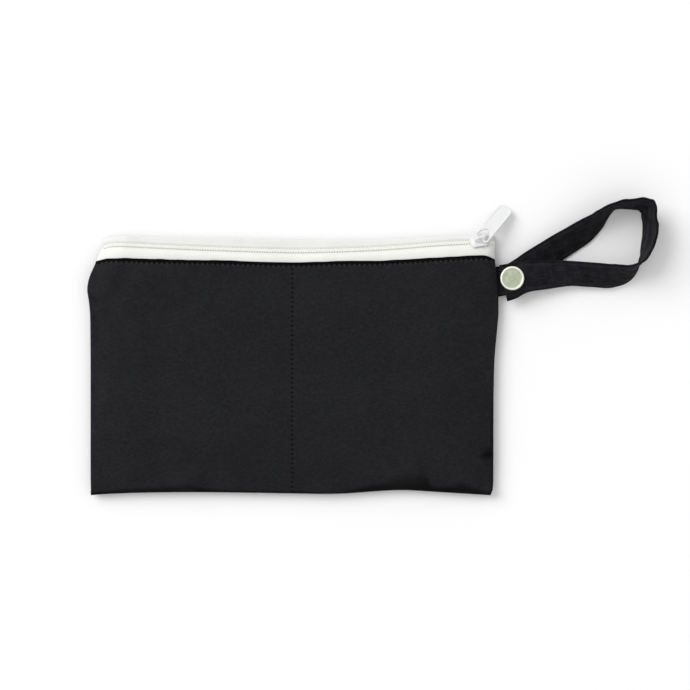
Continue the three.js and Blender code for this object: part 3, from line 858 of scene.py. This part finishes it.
def pouch_finish():
    """The pouch's cloth, with painted shade in the needle's holes, in a band along its folded top edge and
    where it is tucked in, and painted highlights where it bulges between the stitches.
    """
    low, high = (0.007, 0.0072, 0.0086), (0.021, 0.0213, 0.0248)
    finish, relief, colour = black_cloth("black_pouch_cloth", 0.42, low, high, 30.0, 0.35)
    along, across, from_top = finish.parts(finish.lie(), "XYZ")
    # The tuck attribute says how much painted shade falls where the cloth is tucked in.
    tuck = finish.node("ShaderNodeAttribute", {"attribute_name": "tuck"}, {}, "Fac")
    tooth = (along * (2 * math.pi / HEM_PITCH)).sine()
    # hem is 0 in a band of painted shade along the folded top edge, whose lower border is toothed between the
    # stitches.
    hem = (from_top + tooth * 0.4).rising(1.55, 2.15)
    beside = from_top.rising(3.4, 2.05) * hem
    hole = (across * (2 * math.pi / MIDDLE_PITCH) - math.pi / 2).sine().rising(-0.2, 0.9)
    row = abs(along).rising(1.0, 0.4)
    # A painted highlight on the cloth that bulges between the hem's stitches and between the middle row's
    # holes.
    raised = tooth.rising(0.2, 1.0) * beside * 0.7 + row * (1 - hole) * 0.25
    highlight_tone, painted_shade_black = (0.036, 0.0365, 0.041), (0.0008, 0.0008, 0.001)
    colour = finish.blend(raised * 0.5, colour, highlight_tone)
    # The share not in painted shade: 0 in the hem band, in the needle holes and in the tucks.
    unshaded = hem * (1 - hole * row * 0.78) * (1 - tuck * 0.9)
    finish.colour(finish.blend(unshaded, painted_shade_black, colour))
    finish.relief(relief - hole * row * 2.0 + tooth * beside, 0.05)
    return finish.material


def strap_finish():
    """The strap's cloth, closer woven and darker, with painted highlights on the ridges beside its stitching
    and painted shade at its folded edges.
    """
    low, high = (0.0035, 0.0034, 0.005), (0.0185, 0.0182, 0.0235)
    finish, relief, colour = black_cloth("black_strap_cloth", 0.4, low, high, 5.0, 1.6)
    where = finish.lie()
    streak = finish.mottle(finish.drawn_out(where, (0.16, 1.2, 1)), 1.0).rising(0.5, 0.75)
    [across] = finish.parts(where, "Y")
    edge = abs(across)
    ridge = edge.rising(5.0, 5.5) * edge.rising(6.3, 5.8)
    highlight_tone, folded = (0.04, 0.0405, 0.046), (0.002, 0.002, 0.0026)
    # A painted highlight on the ridges beside the stitching, and random lighter streaks in the same tone.
    colour = finish.blend(ridge * 0.16 + streak * 0.25, colour, highlight_tone)
    # Painted shade at the strap's folded edges, half way to near black.
    finish.colour(finish.blend(1 - edge.rising(6.3, 6.9) * 0.5, folded, colour))
    finish.relief(relief + ridge * 0.6, 0.05)
    return finish.material


def thread_finish(name, low, high, gloss):
    """Twisted sewing thread."""
    finish = Finish(name, Specular_IOR_Level=gloss)
    along, around = finish.parts(finish.lie(), "XY")
    twist = ((along / 0.55 + around) * (2 * math.pi)).sine() * 0.5 + 0.5
    finish.colour(finish.blend(twist, low, high))
    finish.roughness(0.85 - twist * 0.2)
    finish.relief(twist, 0.04)
    return finish.material


def tape_finish(name, low, high):
    """White tape woven with ribs along its length."""
    finish = Finish(name, Specular_IOR_Level=0.15)
    where = finish.lie()
    along, across = finish.parts(where, "XY")
    uneven = finish.mottle(where, 3.0)
    ribs = plain_weave((along + uneven * 0.1) * 0.8, across, 0.48)
    soil = finish.mottle(where, 9.0, 3.0)
    tone = (ribs * 0.6 + soil * 0.7).rising(0.2, 1.0)
    finish.colour(finish.blend(tone, low, high))
    finish.roughness(0.92 - ribs * 0.1)
    finish.relief(ribs, 0.05)
    return finish.material


def coil_finish():
    """White spun nylon, a little milky."""
    finish = Finish("white_nylon", Specular_IOR_Level=0.4)
    drawn = finish.mottle(finish.lie(), 0.9)
    finish.colour(finish.blend(drawn, (0.80, 0.81, 0.75), (0.88, 0.89, 0.83)))
    finish.roughness(0.4 + drawn * 0.16)
    finish.relief(drawn, 0.012)
    return finish.material


def lacquer_finish():
    """White lacquer over a casting, faintly pebbled."""
    finish = Finish("white_lacquer", Specular_IOR_Level=0.4, Coat_Weight=0.12, Coat_Roughness=0.2)
    where = finish.lie()
    pebble = finish.mottle(where, 0.55)
    patches = finish.mottle(where, 3.2)
    finish.colour(finish.blend(patches, (0.70, 0.705, 0.705), (0.77, 0.775, 0.775)))
    finish.roughness(0.3 + pebble * 0.16)
    finish.relief(pebble, 0.015)
    return finish.material


def snap_finish():
    """Pale plated metal, finely turned: a dull face inside a brighter rim, whose paleness is partly a painted
    highlight.
    """
    finish = Finish("pale_metal", Specular_IOR_Level=0.5)
    where = finish.lie()
    flat = finish.drawn_out(where, (1, 1, 0))
    radius = finish.node("ShaderNodeVectorMath", {"operation": "LENGTH"}, {0: flat}, "Value")
    rim = radius.rising(4.68, 4.98)
    turning = finish.mottle(where, 0.35)
    rings = ((radius * 46.0) + turning * 3.0).sine() * 0.5 + 0.5
    dull = finish.mottle(where, 2.0, 3.0)
    face = finish.blend(dull * 0.9 + rings * 0.1, (0.35, 0.38, 0.26), (0.71, 0.745, 0.60))
    # The rim is plated brighter and less metallic than the dull face; its pale colour is also a painted
    # highlight all round the rim.
    finish.colour(finish.blend(rim, face, (0.9, 0.91, 0.8)))
    finish.feed(finish.shader.inputs["Metallic"], 0.85 - rim * 0.45)
    finish.roughness(0.34 + dull * 0.2 - rim * 0.1)
    finish.relief(rings * 0.6 + turning * 0.4, 0.008)
    return finish.material


POUCH_CLOTH = pouch_finish()
STRAP_CLOTH = strap_finish()
MIDDLE_THREAD = thread_finish("black_thread", (0.006, 0.006, 0.0072), (0.018, 0.018, 0.021), 0.08)
# The hem's thread is the black thread painted darker, as painted shade in the hem's dark band.
HEM_THREAD_SHADED = thread_finish("hem_thread_painted_shade", (0.0015, 0.0015, 0.002), (0.005, 0.005, 0.006), 0.05)
STRAP_THREAD = thread_finish("strap_thread", (0.012, 0.012, 0.014), (0.03, 0.03, 0.034), 0.1)
WHITE_THREAD = thread_finish("white_thread", (0.70, 0.71, 0.66), (0.84, 0.85, 0.81), 0.2)
FRONT_TAPE = tape_finish("front_tape", (0.72, 0.73, 0.68), (0.83, 0.835, 0.80))
# The back tape is the front's white tape painted greyer: painted shade on the band that rolls over the top.
BACK_TAPE_SHADED = tape_finish("shaded_back_tape", (0.66, 0.665, 0.64), (0.76, 0.765, 0.745))
WHITE_NYLON = coil_finish()
WHITE_LACQUER = lacquer_finish()
PALE_METAL = snap_finish()


# The pouch

ACROSS = lines(PANEL_WIDE, FRONT_CLOTH / 2, 1.05, finer=(PANEL_WIDE / 2, 3.5, 0.34))
UP = lines(PANEL_TALL, FRONT_CLOTH / 2, 0.95, finer=(PANEL_TALL - 1.5, 2.2, 0.27))


def edge_half(us, vs, wide, tall, thick):
    """Half the thickness of a sheet, rounded away along all its edges."""
    side = rounding(np.minimum(us, 1 - us) * wide, thick / 2)
    end = rounding(np.minimum(vs, 1 - vs) * tall, thick / 2)
    return thick / 2 * side * end


def pouch_front():
    """The front with its swell and folds, closer meshed at its two rows of stitches."""
    us, vs = np.meshgrid(ACROSS, UP, indexing="ij")
    outside = front_outside(us, vs)
    middle = outside - grid_normals(outside) * FRONT_CLOTH / 2
    half = edge_half(us, vs, PANEL_WIDE, PANEL_TALL, FRONT_CLOTH)
    from_top = (1 - vs) * (panel_edge(zip_x(us)) - bottom_edge(us))
    x, y = outside[..., 0], outside[..., 1]
    # How much painted shade each point gets where the front is tucked in: under its bottom edge, in the
    # pinches and along the right seam.
    tuck = tucked(x, y, y - bottom_edge(us), right_seam(y) - x)
    # The lie's third part, the distance from the top edge, places the hem band's painted shade.
    lie = np.stack([x, y, from_top], -1)
    return closed_sheet("pouch_front", middle, half, lie, POUCH_CLOTH, tuck)


def pouch_back():
    """The flat back with its lifted edges."""
    wide, tall = (lines(side, BACK_CLOTH / 2, 1.8) for side in (PANEL_WIDE, PANEL_TALL))
    us, vs = np.meshgrid(wide, tall, indexing="ij")
    middle = back_inside(us, vs)
    half = edge_half(us, vs, PANEL_WIDE, PANEL_TALL, BACK_CLOTH)
    # A third part as far from the top as the panel is tall keeps the hem band's painted shade off the back.
    lie = np.stack([middle[..., 0] + PANEL_WIDE, middle[..., 1], np.full_like(half, PANEL_TALL)], -1)
    return closed_sheet("pouch_back", middle, half, lie, POUCH_CLOTH)


def on_front(u, v):
    """Points on the finished front with the direction out of the cloth there."""
    step = 1e-3
    place = front_outside(u, v)
    out = np.cross(front_outside(u + step, v) - front_outside(u - step, v),
                   front_outside(u, v + step) - front_outside(u, v - step))
    return place, unit(out)


def middle_stitches():
    """The row down the middle of the front."""
    y = np.arange(-40, 40) * MIDDLE_PITCH
    u = -left_seam(y) / (right_seam(y) - left_seam(y))
    bottom, top = bottom_edge(u), panel_edge(zip_x(u))
    v = (y - bottom) / (top - bottom)
    inside = (v > 0.008) & (v < 0.982)
    place, out = on_front(u[inside], v[inside])
    along = np.tile([0.0, 1.0, 0.0], (len(place), 1))
    along = along - out * np.sum(along * out, axis=1, keepdims=True)
    place = place - out * STITCH_SUNK
    return stitch_row("middle_stitches", place, along, out, MIDDLE_STITCH, MIDDLE_THREAD)


def hem_stitches():
    """The row along the front's folded top edge."""
    x = np.arange(-38, 40) * HEM_PITCH
    y = panel_edge(x) - HEM_INSET
    u = (x - left_seam(y)) / (right_seam(y) - left_seam(y))
    bottom, top = bottom_edge(u), panel_edge(zip_x(u))
    v = 1 - HEM_INSET / (top - bottom)
    place, out = on_front(u, v)
    ahead, _ = on_front(u + 2e-3, v)
    return stitch_row("hem_stitches", place - out * STITCH_SUNK, ahead - place, out, HEM_STITCH, HEM_THREAD_SHADED,
                      0.2, HEM_THREAD_HALF)


# The zip

ZIP_ACROSS = lines(PANEL_WIDE, TAPE / 2, 1.2)


def zip_tape(name, bends, tucked_first, finish):
    """A tape along rows of points for its bends, thinner where it runs on under the chain. Its first or
    last row is tucked in between the front and the back."""
    shares = lines(TAPE_WIDE, TAPE / 2, 0.42)
    points = np.stack(bends)
    points[..., 0] = 0
    grid = np.swapaxes(spline(points, shares), 0, 1)
    us, vs = np.meshgrid(ZIP_ACROSS, shares, indexing="ij")
    from_tuck = vs if tucked_first else 1 - vs
    inset = TAPE_INSET + TAPE_TUCKED_IN * (1 - eased(from_tuck * TAPE_TUCK_STEEP))
    grid[..., 0] = seam_x(us, grid[..., 1], inset)
    under = eased((from_tuck - TAPE_UNDER_FROM) / (TAPE_UNDER_FULL - TAPE_UNDER_FROM))
    half = edge_half(us, vs, PANEL_WIDE, TAPE_WIDE, TAPE) * lerp(1, TAPE_UNDER, under)
    lie = np.stack([us * PANEL_WIDE, vs * TAPE_WIDE], -1)
    return closed_sheet(name, grid, half, lie, finish)


def under_chain(u, side):
    """Where a tape's edge runs: under the chain, open in the slider, and at the zip's right end."""
    x = chain_point(u)[..., 0]
    held = 1 - eased((x - (SLIDER_X - CHAIN_HELD_TO)) / CHAIN_HELD_FADE)
    name, fade = ("front", TAPE_END_FRONT) if side < 0 else ("back", TAPE_END_BACK)
    past = eased((x - (SLIDER_X + TAPE_END_FROM)) / fade)
    rows = zip(*(UNDER_CHAIN[key] for key in ("across", "above", "open", name, name + "_above")))
    bends = []
    for across, above, apart, end, end_above in rows:
        out = lerp(lerp(apart, across, held), end, past)
        bends.append(in_zip_plane(u, side * out, lerp(above * held, end_above, past)))
    return bends


def tape_front():
    """The tape sewn under the front's top edge."""
    u = ZIP_ACROSS
    edge = front_outside(u, np.ones_like(u), fine=False)
    tuck = front_outside(u, 1 - TAPE_TUCK_FRONT / (edge[..., 1] - bottom_edge(u)), fine=False)
    for place in (edge, tuck):
        place[..., 2] -= TAPE_DROP
    level, bend = in_zip_plane(u, -TAPE_LEVEL, 0), in_zip_plane(u, -TAPE_BEND, 0)
    return zip_tape("zip_tape_front", [tuck, edge, level, bend, *under_chain(u, -1)], True, FRONT_TAPE)


def tape_back():
    """The tape that rolls over the top edge and is sewn to the back."""
    u = ZIP_ACROSS
    roll = roll_line(zip_x(u))
    bend = in_zip_plane(u, TAPE_BEND, 0)

    def on_back(y, above):
        lying = back_lift(seam_x(u, y), y, u) + BACK_CLOTH + TAPE_OFF_BACK + TAPE / 2
        return np.stack([bend[..., 0], y, lying + above], -1)

    over = np.stack([bend[..., 0], roll - TAPE / 2, bend[..., 2] - TAPE_ROLL_DROP], -1)
    foot = on_back(roll - TAPE_FOOT, TAPE_FOOT_RISE)
    tuck = on_back(roll - BACK_TOP_INSET - TAPE_TUCK_BACK, 0)
    return zip_tape("zip_tape_back", [*under_chain(u, 1)[::-1], bend, over, foot, tuck], False, BACK_TAPE_SHADED)


CHAIN_START_X = chain_point(np.array([CHAIN_START]))[0, 0]


def at_chain(x, across, above):
    """Places in the zip's own plane at a row of x."""
    place = in_zip_plane(chain_share(x), across, above)
    place[:, 0] = x
    return place


def chain_apart(x):
    """How far each coil has moved from the chain's middle where the slider opens it."""
    return CHAIN_SPREAD * eased((x - SLIDER_X + CHAIN_SPREAD_FROM) / CHAIN_SPREAD_LONG)


def zip_coil():
    """Two flattened coils whose loops lock into each other and part where the slider has opened them."""
    start = CHAIN_START_X + LOOPS_FROM
    turns = (CHAIN_END_X - start) / CHAIN_PITCH
    angle = np.linspace(0, 2 * np.pi * turns, int(turns * LOOP_STEPS))
    paths, outs = [], []
    for side in (-1, 1):
        x = start + CHAIN_PITCH * (angle / (2 * np.pi)) + (side + 1) / 4 * CHAIN_PITCH
        apart = chain_apart(x)
        loop = LOOP_MIDDLE + LOOP_REACH * np.cos(angle)
        path = at_chain(x, side * (loop + apart), LOOP_RISE * np.sin(angle))
        paths.append(path)
        outs.append(path - at_chain(x, side * (LOOP_MIDDLE + apart), 0))
    return tubes("zip_coil_loops", paths, outs, WIRE, WIRE_SIDES, WHITE_NYLON)


def coil_cords():
    """The cord inside each coil, which fills it."""
    x = np.arange(CHAIN_START_X + CORDS_FROM, CHAIN_END_X, 1.0)
    paths = [at_chain(x, side * (LOOP_MIDDLE + CORD_OUT + chain_apart(x)), 0) for side in (-1, 1)]
    outs = [np.tile([0.0, 0.4, 0.9], (len(x), 1))] * 2
    return tubes("coil_cords", paths, outs, CORD, CORD_SIDES, WHITE_THREAD)


def coil_stitches():
    """The threads that sew the coils to their tapes."""
    x = np.arange(CHAIN_START_X + CHAIN_STITCH_FROM, SLIDER_X - CHAIN_STITCH_END, CHAIN_PITCH)
    places, ups = [], []
    for side in (-1, 1):
        place = at_chain(x, side * CHAIN_STITCH_ACROSS, CHAIN_STITCH_RISE)
        above = at_chain(x, side * (CHAIN_STITCH_ACROSS + 0.3), CHAIN_STITCH_RISE + 1)
        ups.append(unit(above - place))
        place[:, 0] += side * CHAIN_PITCH / 4
        places.append(place)
    place = np.concatenate(places)
    along = np.tile([1.0, 0.0, 0.0], (len(place), 1))
    return stitch_row("coil_stitches", place, along, np.concatenate(ups), CHAIN_STITCH, WHITE_THREAD,
                      0.3, CHAIN_THREAD_HALF)


def rounded(corners, steps=6):
    """A flat outline with rounded corners, from corners of x, y and radius."""
    points = []
    for i, (x, y, radius) in enumerate(corners):
        here = np.array([x, y])
        before = np.array(corners[i - 1][:2])
        after = np.array(corners[(i + 1) % len(corners)][:2])
        start = here + unit(before - here) * radius
        end = here + unit(after - here) * radius
        for t in np.linspace(0, 1, steps):
            points.append((1 - t) ** 2 * start + 2 * t * (1 - t) * here + t * t * end)
    return np.array(points)


def even_sided(*side):
    """A flat outline with rounded corners that is the same on both sides, from the corners of one side."""
    return rounded([*side, *((x, -y, radius) for x, y, radius in side[::-1])])


def slab(outlines, low, high, bevel):
    """A plate with softly rounded edges. Outlines after the first are holes."""
    data = bpy.data.curves.new("slab", "CURVE")
    data.dimensions = "2D"
    data.fill_mode = "BOTH"
    data.extrude = (high - low) / 2 - bevel
    data.bevel_depth = bevel
    data.bevel_resolution = 3
    data.offset = -bevel
    for outline in outlines:
        ring = data.splines.new("POLY")
        ring.points.add(len(outline) - 1)
        for point, (x, y) in zip(ring.points, outline):
            point.co = (x, y, 0, 1)
        ring.use_cyclic_u = True
    holder = bpy.data.objects.new("slab", data)
    bpy.context.scene.collection.objects.link(holder)
    bpy.context.view_layer.update()
    mesh = bpy.data.meshes.new_from_object(holder)
    bpy.data.objects.remove(holder)
    bpy.data.curves.remove(data)
    mesh.transform(Matrix.Translation((0, 0, (low + high) / 2)))
    return mesh


def cast(name, meshes, place, finish, voxel):
    """One casting from plates that run into each other, with softened corners, put in its place."""
    points, faces, first = [], [], 0
    for mesh in meshes:
        points += [tuple(v.co) for v in mesh.vertices]
        faces += [[first + i for i in p.vertices] for p in mesh.polygons]
        first = len(points)
        bpy.data.meshes.remove(mesh)
    joined = bpy.data.meshes.new(name)
    joined.from_pydata(points, [], faces)
    made = bpy.data.objects.new(name, joined)
    bpy.context.scene.collection.objects.link(made)
    weld = made.modifiers.new("weld", "WELD")
    weld.merge_threshold = 1e-4
    remesh = made.modifiers.new("fuse", "REMESH")
    remesh.mode = "VOXEL"
    remesh.voxel_size = voxel
    soften = made.modifiers.new("soften", "SMOOTH")
    soften.factor = 0.5
    soften.iterations = 3
    fused = bpy.data.meshes.new_from_object(made.evaluated_get(bpy.context.evaluated_depsgraph_get()))
    bpy.data.objects.remove(made)
    bpy.data.meshes.remove(joined)
    local = np.empty(len(fused.vertices) * 3)
    fused.vertices.foreach_get("co", local)
    local = local.reshape(-1, 3)
    world = local @ np.array(place.to_3x3()).T + np.array(place.translation)
    faces = [list(p.vertices) for p in fused.polygons]
    bpy.data.meshes.remove(fused)
    return piece(name, world, faces, finish, local)


PULL_SWING = frame["record"]["behaviour"]["joints"][0]
ZIP_TURN = Matrix.Rotation(-ZIP_ROLL, 4, "X")
PULL_HINGE = Vector(PULL_SWING["pos_m"]) / MM
BAIL_FOOT = Matrix.Translation((-BAIL_X, 0, -PLATE_OUTER - BAIL_HEIGHT / 2))
SLIDER_PLACE = Matrix.Translation(PULL_HINGE) @ ZIP_TURN @ Matrix.Rotation(SLIDER_TURN, 4, "Z") @ BAIL_FOOT
PULL_PLACE = Matrix.Translation(PULL_HINGE) @ ZIP_TURN @ Matrix.Rotation(PULL_ANGLE, 4, "Z")


def slider_body():
    """Two plates with turned-in sides, a post between them and a bail on top."""
    upper = even_sided((-4, -2.3, 0.9), (-1.2, -2.9, 1.4), (2.6, -3.3, 1.4), (4, -2.4, 1.1))
    lower = upper * [1, 0.78]
    crown = even_sided((-3.2, -1.5, 0.6), (3.0, -2.0, 1.0))
    post = even_sided((1.6, -1.1, 0.4), (3.2, -1.1, 0.4))
    lip = even_sided((-3.6, -0.3, 0.2), (1.2, -0.3, 0.2))
    parts = [
        slab([upper], PLATE_INNER, PLATE_OUTER - 0.12, 0.3),
        slab([crown], PLATE_INNER + 0.2, PLATE_OUTER + 0.05, 0.25),
        slab([lower], -PLATE_BOTTOM, -PLATE_INNER, 0.25),
        slab([post], -PLATE_BOTTOM + 0.2, PLATE_OUTER - 0.3, 0.1),
    ]
    for side in (-1, 1):
        for wide, low, high in ((2.8, 0.8, PLATE_OUTER - 0.3), (2.1, -PLATE_BOTTOM + 0.2, -0.8)):
            parts.append(slab([lip + [0, side * (wide - 0.35)]], low, high, 0.15))
    inner, outer, top = BAIL_INSIDE / 2, BAIL_INSIDE / 2 + BAIL_LEG, BAIL_HEIGHT + BAIL_TOP
    arch = rounded([(-outer, -0.5, 0.01), (-inner, -0.5, 0.01), (-inner, BAIL_HEIGHT, 0.5),
                    (inner, BAIL_HEIGHT, 0.5), (inner, -0.5, 0.01), (outer, -0.5, 0.01),
                    (outer, top, 1.5), (-outer, top, 1.5)])
    upright = Matrix.Translation((BAIL_X, 0, PLATE_OUTER)) @ Matrix.Rotation(math.pi / 2, 4, "X")
    bail = slab([arch], -BAIL_WIDTH / 2, BAIL_WIDTH / 2, 0.28)
    bail.transform(upright)
    parts.append(bail)
    return cast("slider_body", parts, SLIDER_PLACE, WHITE_LACQUER, 0.1)


def pull_tab():
    """A flat tab with a raised rim and an eye that the bail passes through."""
    half = PULL_WIDTH / 2
    outline = even_sided((-EYE_NEAR, -half, 1.6), (PULL_LENGTH, -half, 2.6))
    eye = even_sided((EYE_NEAR, -EYE_HALF, 0.5), (EYE_SHOULDER, -EYE_HALF, 1.3), (EYE_FAR, -EYE_TIP, 0.9))
    face_start = EYE_FAR + PULL_FACE_GAP
    inset = half - PULL_RIM
    face = even_sided((face_start, -inset, 1.2), (PULL_LENGTH - PULL_RIM, -inset, 2.0))
    parts = [
        slab([outline, eye, face], -PULL_THICK / 2, PULL_THICK / 2, 0.22),
        slab([face + unit(face - face.mean(0)) * 0.3], -PULL_FACE_THICK / 2, PULL_FACE_THICK / 2, 0.05),
    ]
    return cast("pull_tab_plate", parts, PULL_PLACE, WHITE_LACQUER, 0.12)


# The strap and the snap

STRAP_STATIONS = len(STRAP_LINE["x"]) - 1


def strap_frame(shares):
    """The strap's middle, its direction, its width's direction and its reach to both sides."""
    turn = np.radians(STRAP_LINE["tilt"])
    height = np.abs(np.sin(turn)) * (STRAP_HALF - WEBBING / 2) + WEBBING / 2
    places = np.stack([STRAP_LINE["x"], STRAP_LINE["y"], STRAP_LINE["low"] + height], -1)
    reach = np.full((len(turn), 2), STRAP_HALF)
    reach[-len(STRAP_END):] = STRAP_END
    turns = np.concatenate([turn[:, None], reach], axis=1)
    step = 1e-4
    middle = spline(places, shares)
    along = unit(spline(places, shares + step) - spline(places, shares - step))
    tilt, left, right = spline(turns, shares, even=True).T
    level = unit(np.stack([-along[:, 1], along[:, 0], np.zeros_like(tilt)], -1))
    width = level * np.cos(tilt)[:, None] + np.cross(along, level) * np.sin(tilt)[:, None]
    return middle, along, width, left, right


def strap_creases(station, across):
    """How deep the strap's creases are."""
    deep = np.zeros_like(station)
    for at, slant, half, depth in zip(*STRAP_CREASES.values()):
        off = (station - at) * STATION_LONG - slant * across / STRAP_HALF
        deep += depth * bell(off / (half * 1.6)) * (0.6 + 0.4 * np.sin(across + at))
    return deep


def strap_surface(shares, sides):
    """The middle of the strap's cloth, with its creases, and the direction out of it."""
    middle, along, width, left, right = strap_frame(shares)
    across = lerp(-right[:, None], left[:, None], sides[None])
    grid = middle[:, None] + width[:, None] * across[..., None]
    out = np.cross(along, width)[:, None]
    station = np.broadcast_to((shares * STRAP_STATIONS)[:, None], across.shape)
    ripple = STRAP_RIPPLE * wander(station * STATION_LONG, across * 2, 9, 21) - strap_creases(station, across)
    free = eased((station - 2.6) / 1.2) * eased((STRAP_STATIONS - 2.4 - station) / 1.2)
    return grid + out * (ripple * free)[..., None], np.broadcast_to(out, grid.shape), across


def strap_length(shares):
    middle = strap_frame(shares)[0]
    return np.concatenate([[0], np.cumsum(np.linalg.norm(np.diff(middle, axis=0), axis=1))])


def wrist_strap():
    """A strip folded in, sewn along both edges and turned half over on its way round."""
    long = strap_length(np.linspace(0, 1, 800))[-1]
    shares = lines(long, WEBBING / 2, 0.62)
    sides = lines(2 * STRAP_HALF, WEBBING / 2, 0.5)
    grid, _, across = strap_surface(shares, sides)
    half = edge_half(shares[:, None], sides[None], long, 2 * STRAP_HALF, WEBBING)
    from_edge = np.minimum(sides, 1 - sides) * 2 * STRAP_HALF
    groove = STRAP_GROOVE * bell((from_edge - STRAP_STITCH_INSET) / 0.45)
    half = half * (1 - groove - STRAP_HOLLOW * eased(from_edge / 4 - 0.6))
    lie = np.stack([np.broadcast_to(strap_length(shares)[:, None], across.shape), across], -1)
    return closed_sheet("strap_ribbon", grid, half, lie, STRAP_CLOTH), long


def strap_stitches(long):
    """Rows of stitches along both edges, on both faces."""
    shares = np.linspace(0.03, 0.97, int(long * 0.94 / STRAP_PITCH))
    places, ways, ups = [], [], []
    for side in (STRAP_STITCH_INSET, 2 * STRAP_HALF - STRAP_STITCH_INSET):
        sides = np.array([side / (2 * STRAP_HALF)])
        place, out, _ = strap_surface(shares, sides)
        ahead, _, _ = strap_surface(shares + 1e-3, sides)
        for face in (-1, 1):
            lift = WEBBING / 2 * 0.8 * face
            places.append((place + out * lift)[:, 0])
            ways.append((ahead - place)[:, 0])
            ups.append((out * face)[:, 0])
    return stitch_row("strap_stitches", np.concatenate(places), np.concatenate(ways), np.concatenate(ups),
                      STRAP_STITCH, STRAP_THREAD, 0.2, STRAP_THREAD_HALF)


# The studio

def camera_above():
    """The camera straight above the pouch."""
    data = bpy.data.cameras.new("camera")
    data.lens = CAMERA_LENS
    data.sensor_width = CAMERA_SENSOR
    camera = bpy.data.objects.new("camera", data)
    camera.location = Vector(CAMERA_PLACE) * MM
    bpy.context.scene.collection.objects.link(camera)
    bpy.context.scene.camera = camera


def studio():
    """Soft light from one large lamp and all round, over a white floor."""
    scene = bpy.context.scene
    scene.view_settings.view_transform = "Standard"
    scene.world = bpy.data.worlds.new("studio")
    scene.world.use_nodes = True
    scene.world.node_tree.nodes["Background"].inputs["Color"].default_value = (1, 1, 1, 1)
    scene.world.node_tree.nodes["Background"].inputs["Strength"].default_value = FILL_STRENGTH
    key = bpy.data.lights.new("key", "AREA")
    key.size = KEY_SIZE * MM
    key.energy = KEY_WATTS
    lamp = bpy.data.objects.new("key", key)
    lamp.location = Vector(KEY_PLACE) * MM
    lamp.rotation_euler = (-Vector(KEY_PLACE)).to_track_quat("-Z", "Y").to_euler()
    scene.collection.objects.link(lamp)
    half = FLOOR_SIDE / 2
    corners = np.array([(-half, -half, -FLOOR_DROP), (half, -half, -FLOOR_DROP),
                        (half, half, -FLOOR_DROP), (-half, half, -FLOOR_DROP)])
    white = Finish("white_floor", Roughness=0.9, Specular_IOR_Level=0.1)
    white.colour((0.92, 0.92, 0.92))
    floor = piece("floor", corners, [[0, 1, 2, 3]], white.material)


def put(made, body, slot, *nodes):
    """Rides a piece on a body and hides the solids that it stands for. Its slot is not used."""
    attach(made, body)
    if nodes:
        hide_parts(*nodes)
    return made


camera_above()
studio()

front = put(pouch_front(), "pouch", "pouch_cloth", "front_panel")
back = put(pouch_back(), "pouch", "pouch_cloth", "back_panel")
middle_row = put(middle_stitches(), "pouch", "pouch_cloth")
hem_row = put(hem_stitches(), "pouch", "pouch_cloth")

front_tape = put(tape_front(), "pouch", "zip_tape", "zipper_tape_front")
shaded_back_tape = put(tape_back(), "pouch", "zip_tape", "zipper_tape_back")
put(zip_coil(), "pouch", "zip_coil", "zipper_coil")
put(coil_cords(), "pouch", "zip_coil")
put(coil_stitches(), "pouch", "zip_tape")
put(slider_body(), "pouch", "zip_metal", "zip_slider")
put(pull_tab(), "pull_tab", "zip_metal", "zip_pull")

strap, strap_long = wrist_strap()
put(strap, "pouch", "strap_cloth", "wrist_strap")
strap_rows = put(strap_stitches(strap_long), "pouch", "strap_cloth")
put(turned("snap_top", CAP_PROFILE, SNAP_PLACE, PALE_METAL), "pouch", "snap_metal", "snap_cap")
put(turned("snap_post", STUD_PROFILE, SNAP_PLACE, PALE_METAL), "pouch", "snap_metal", "snap_stud")
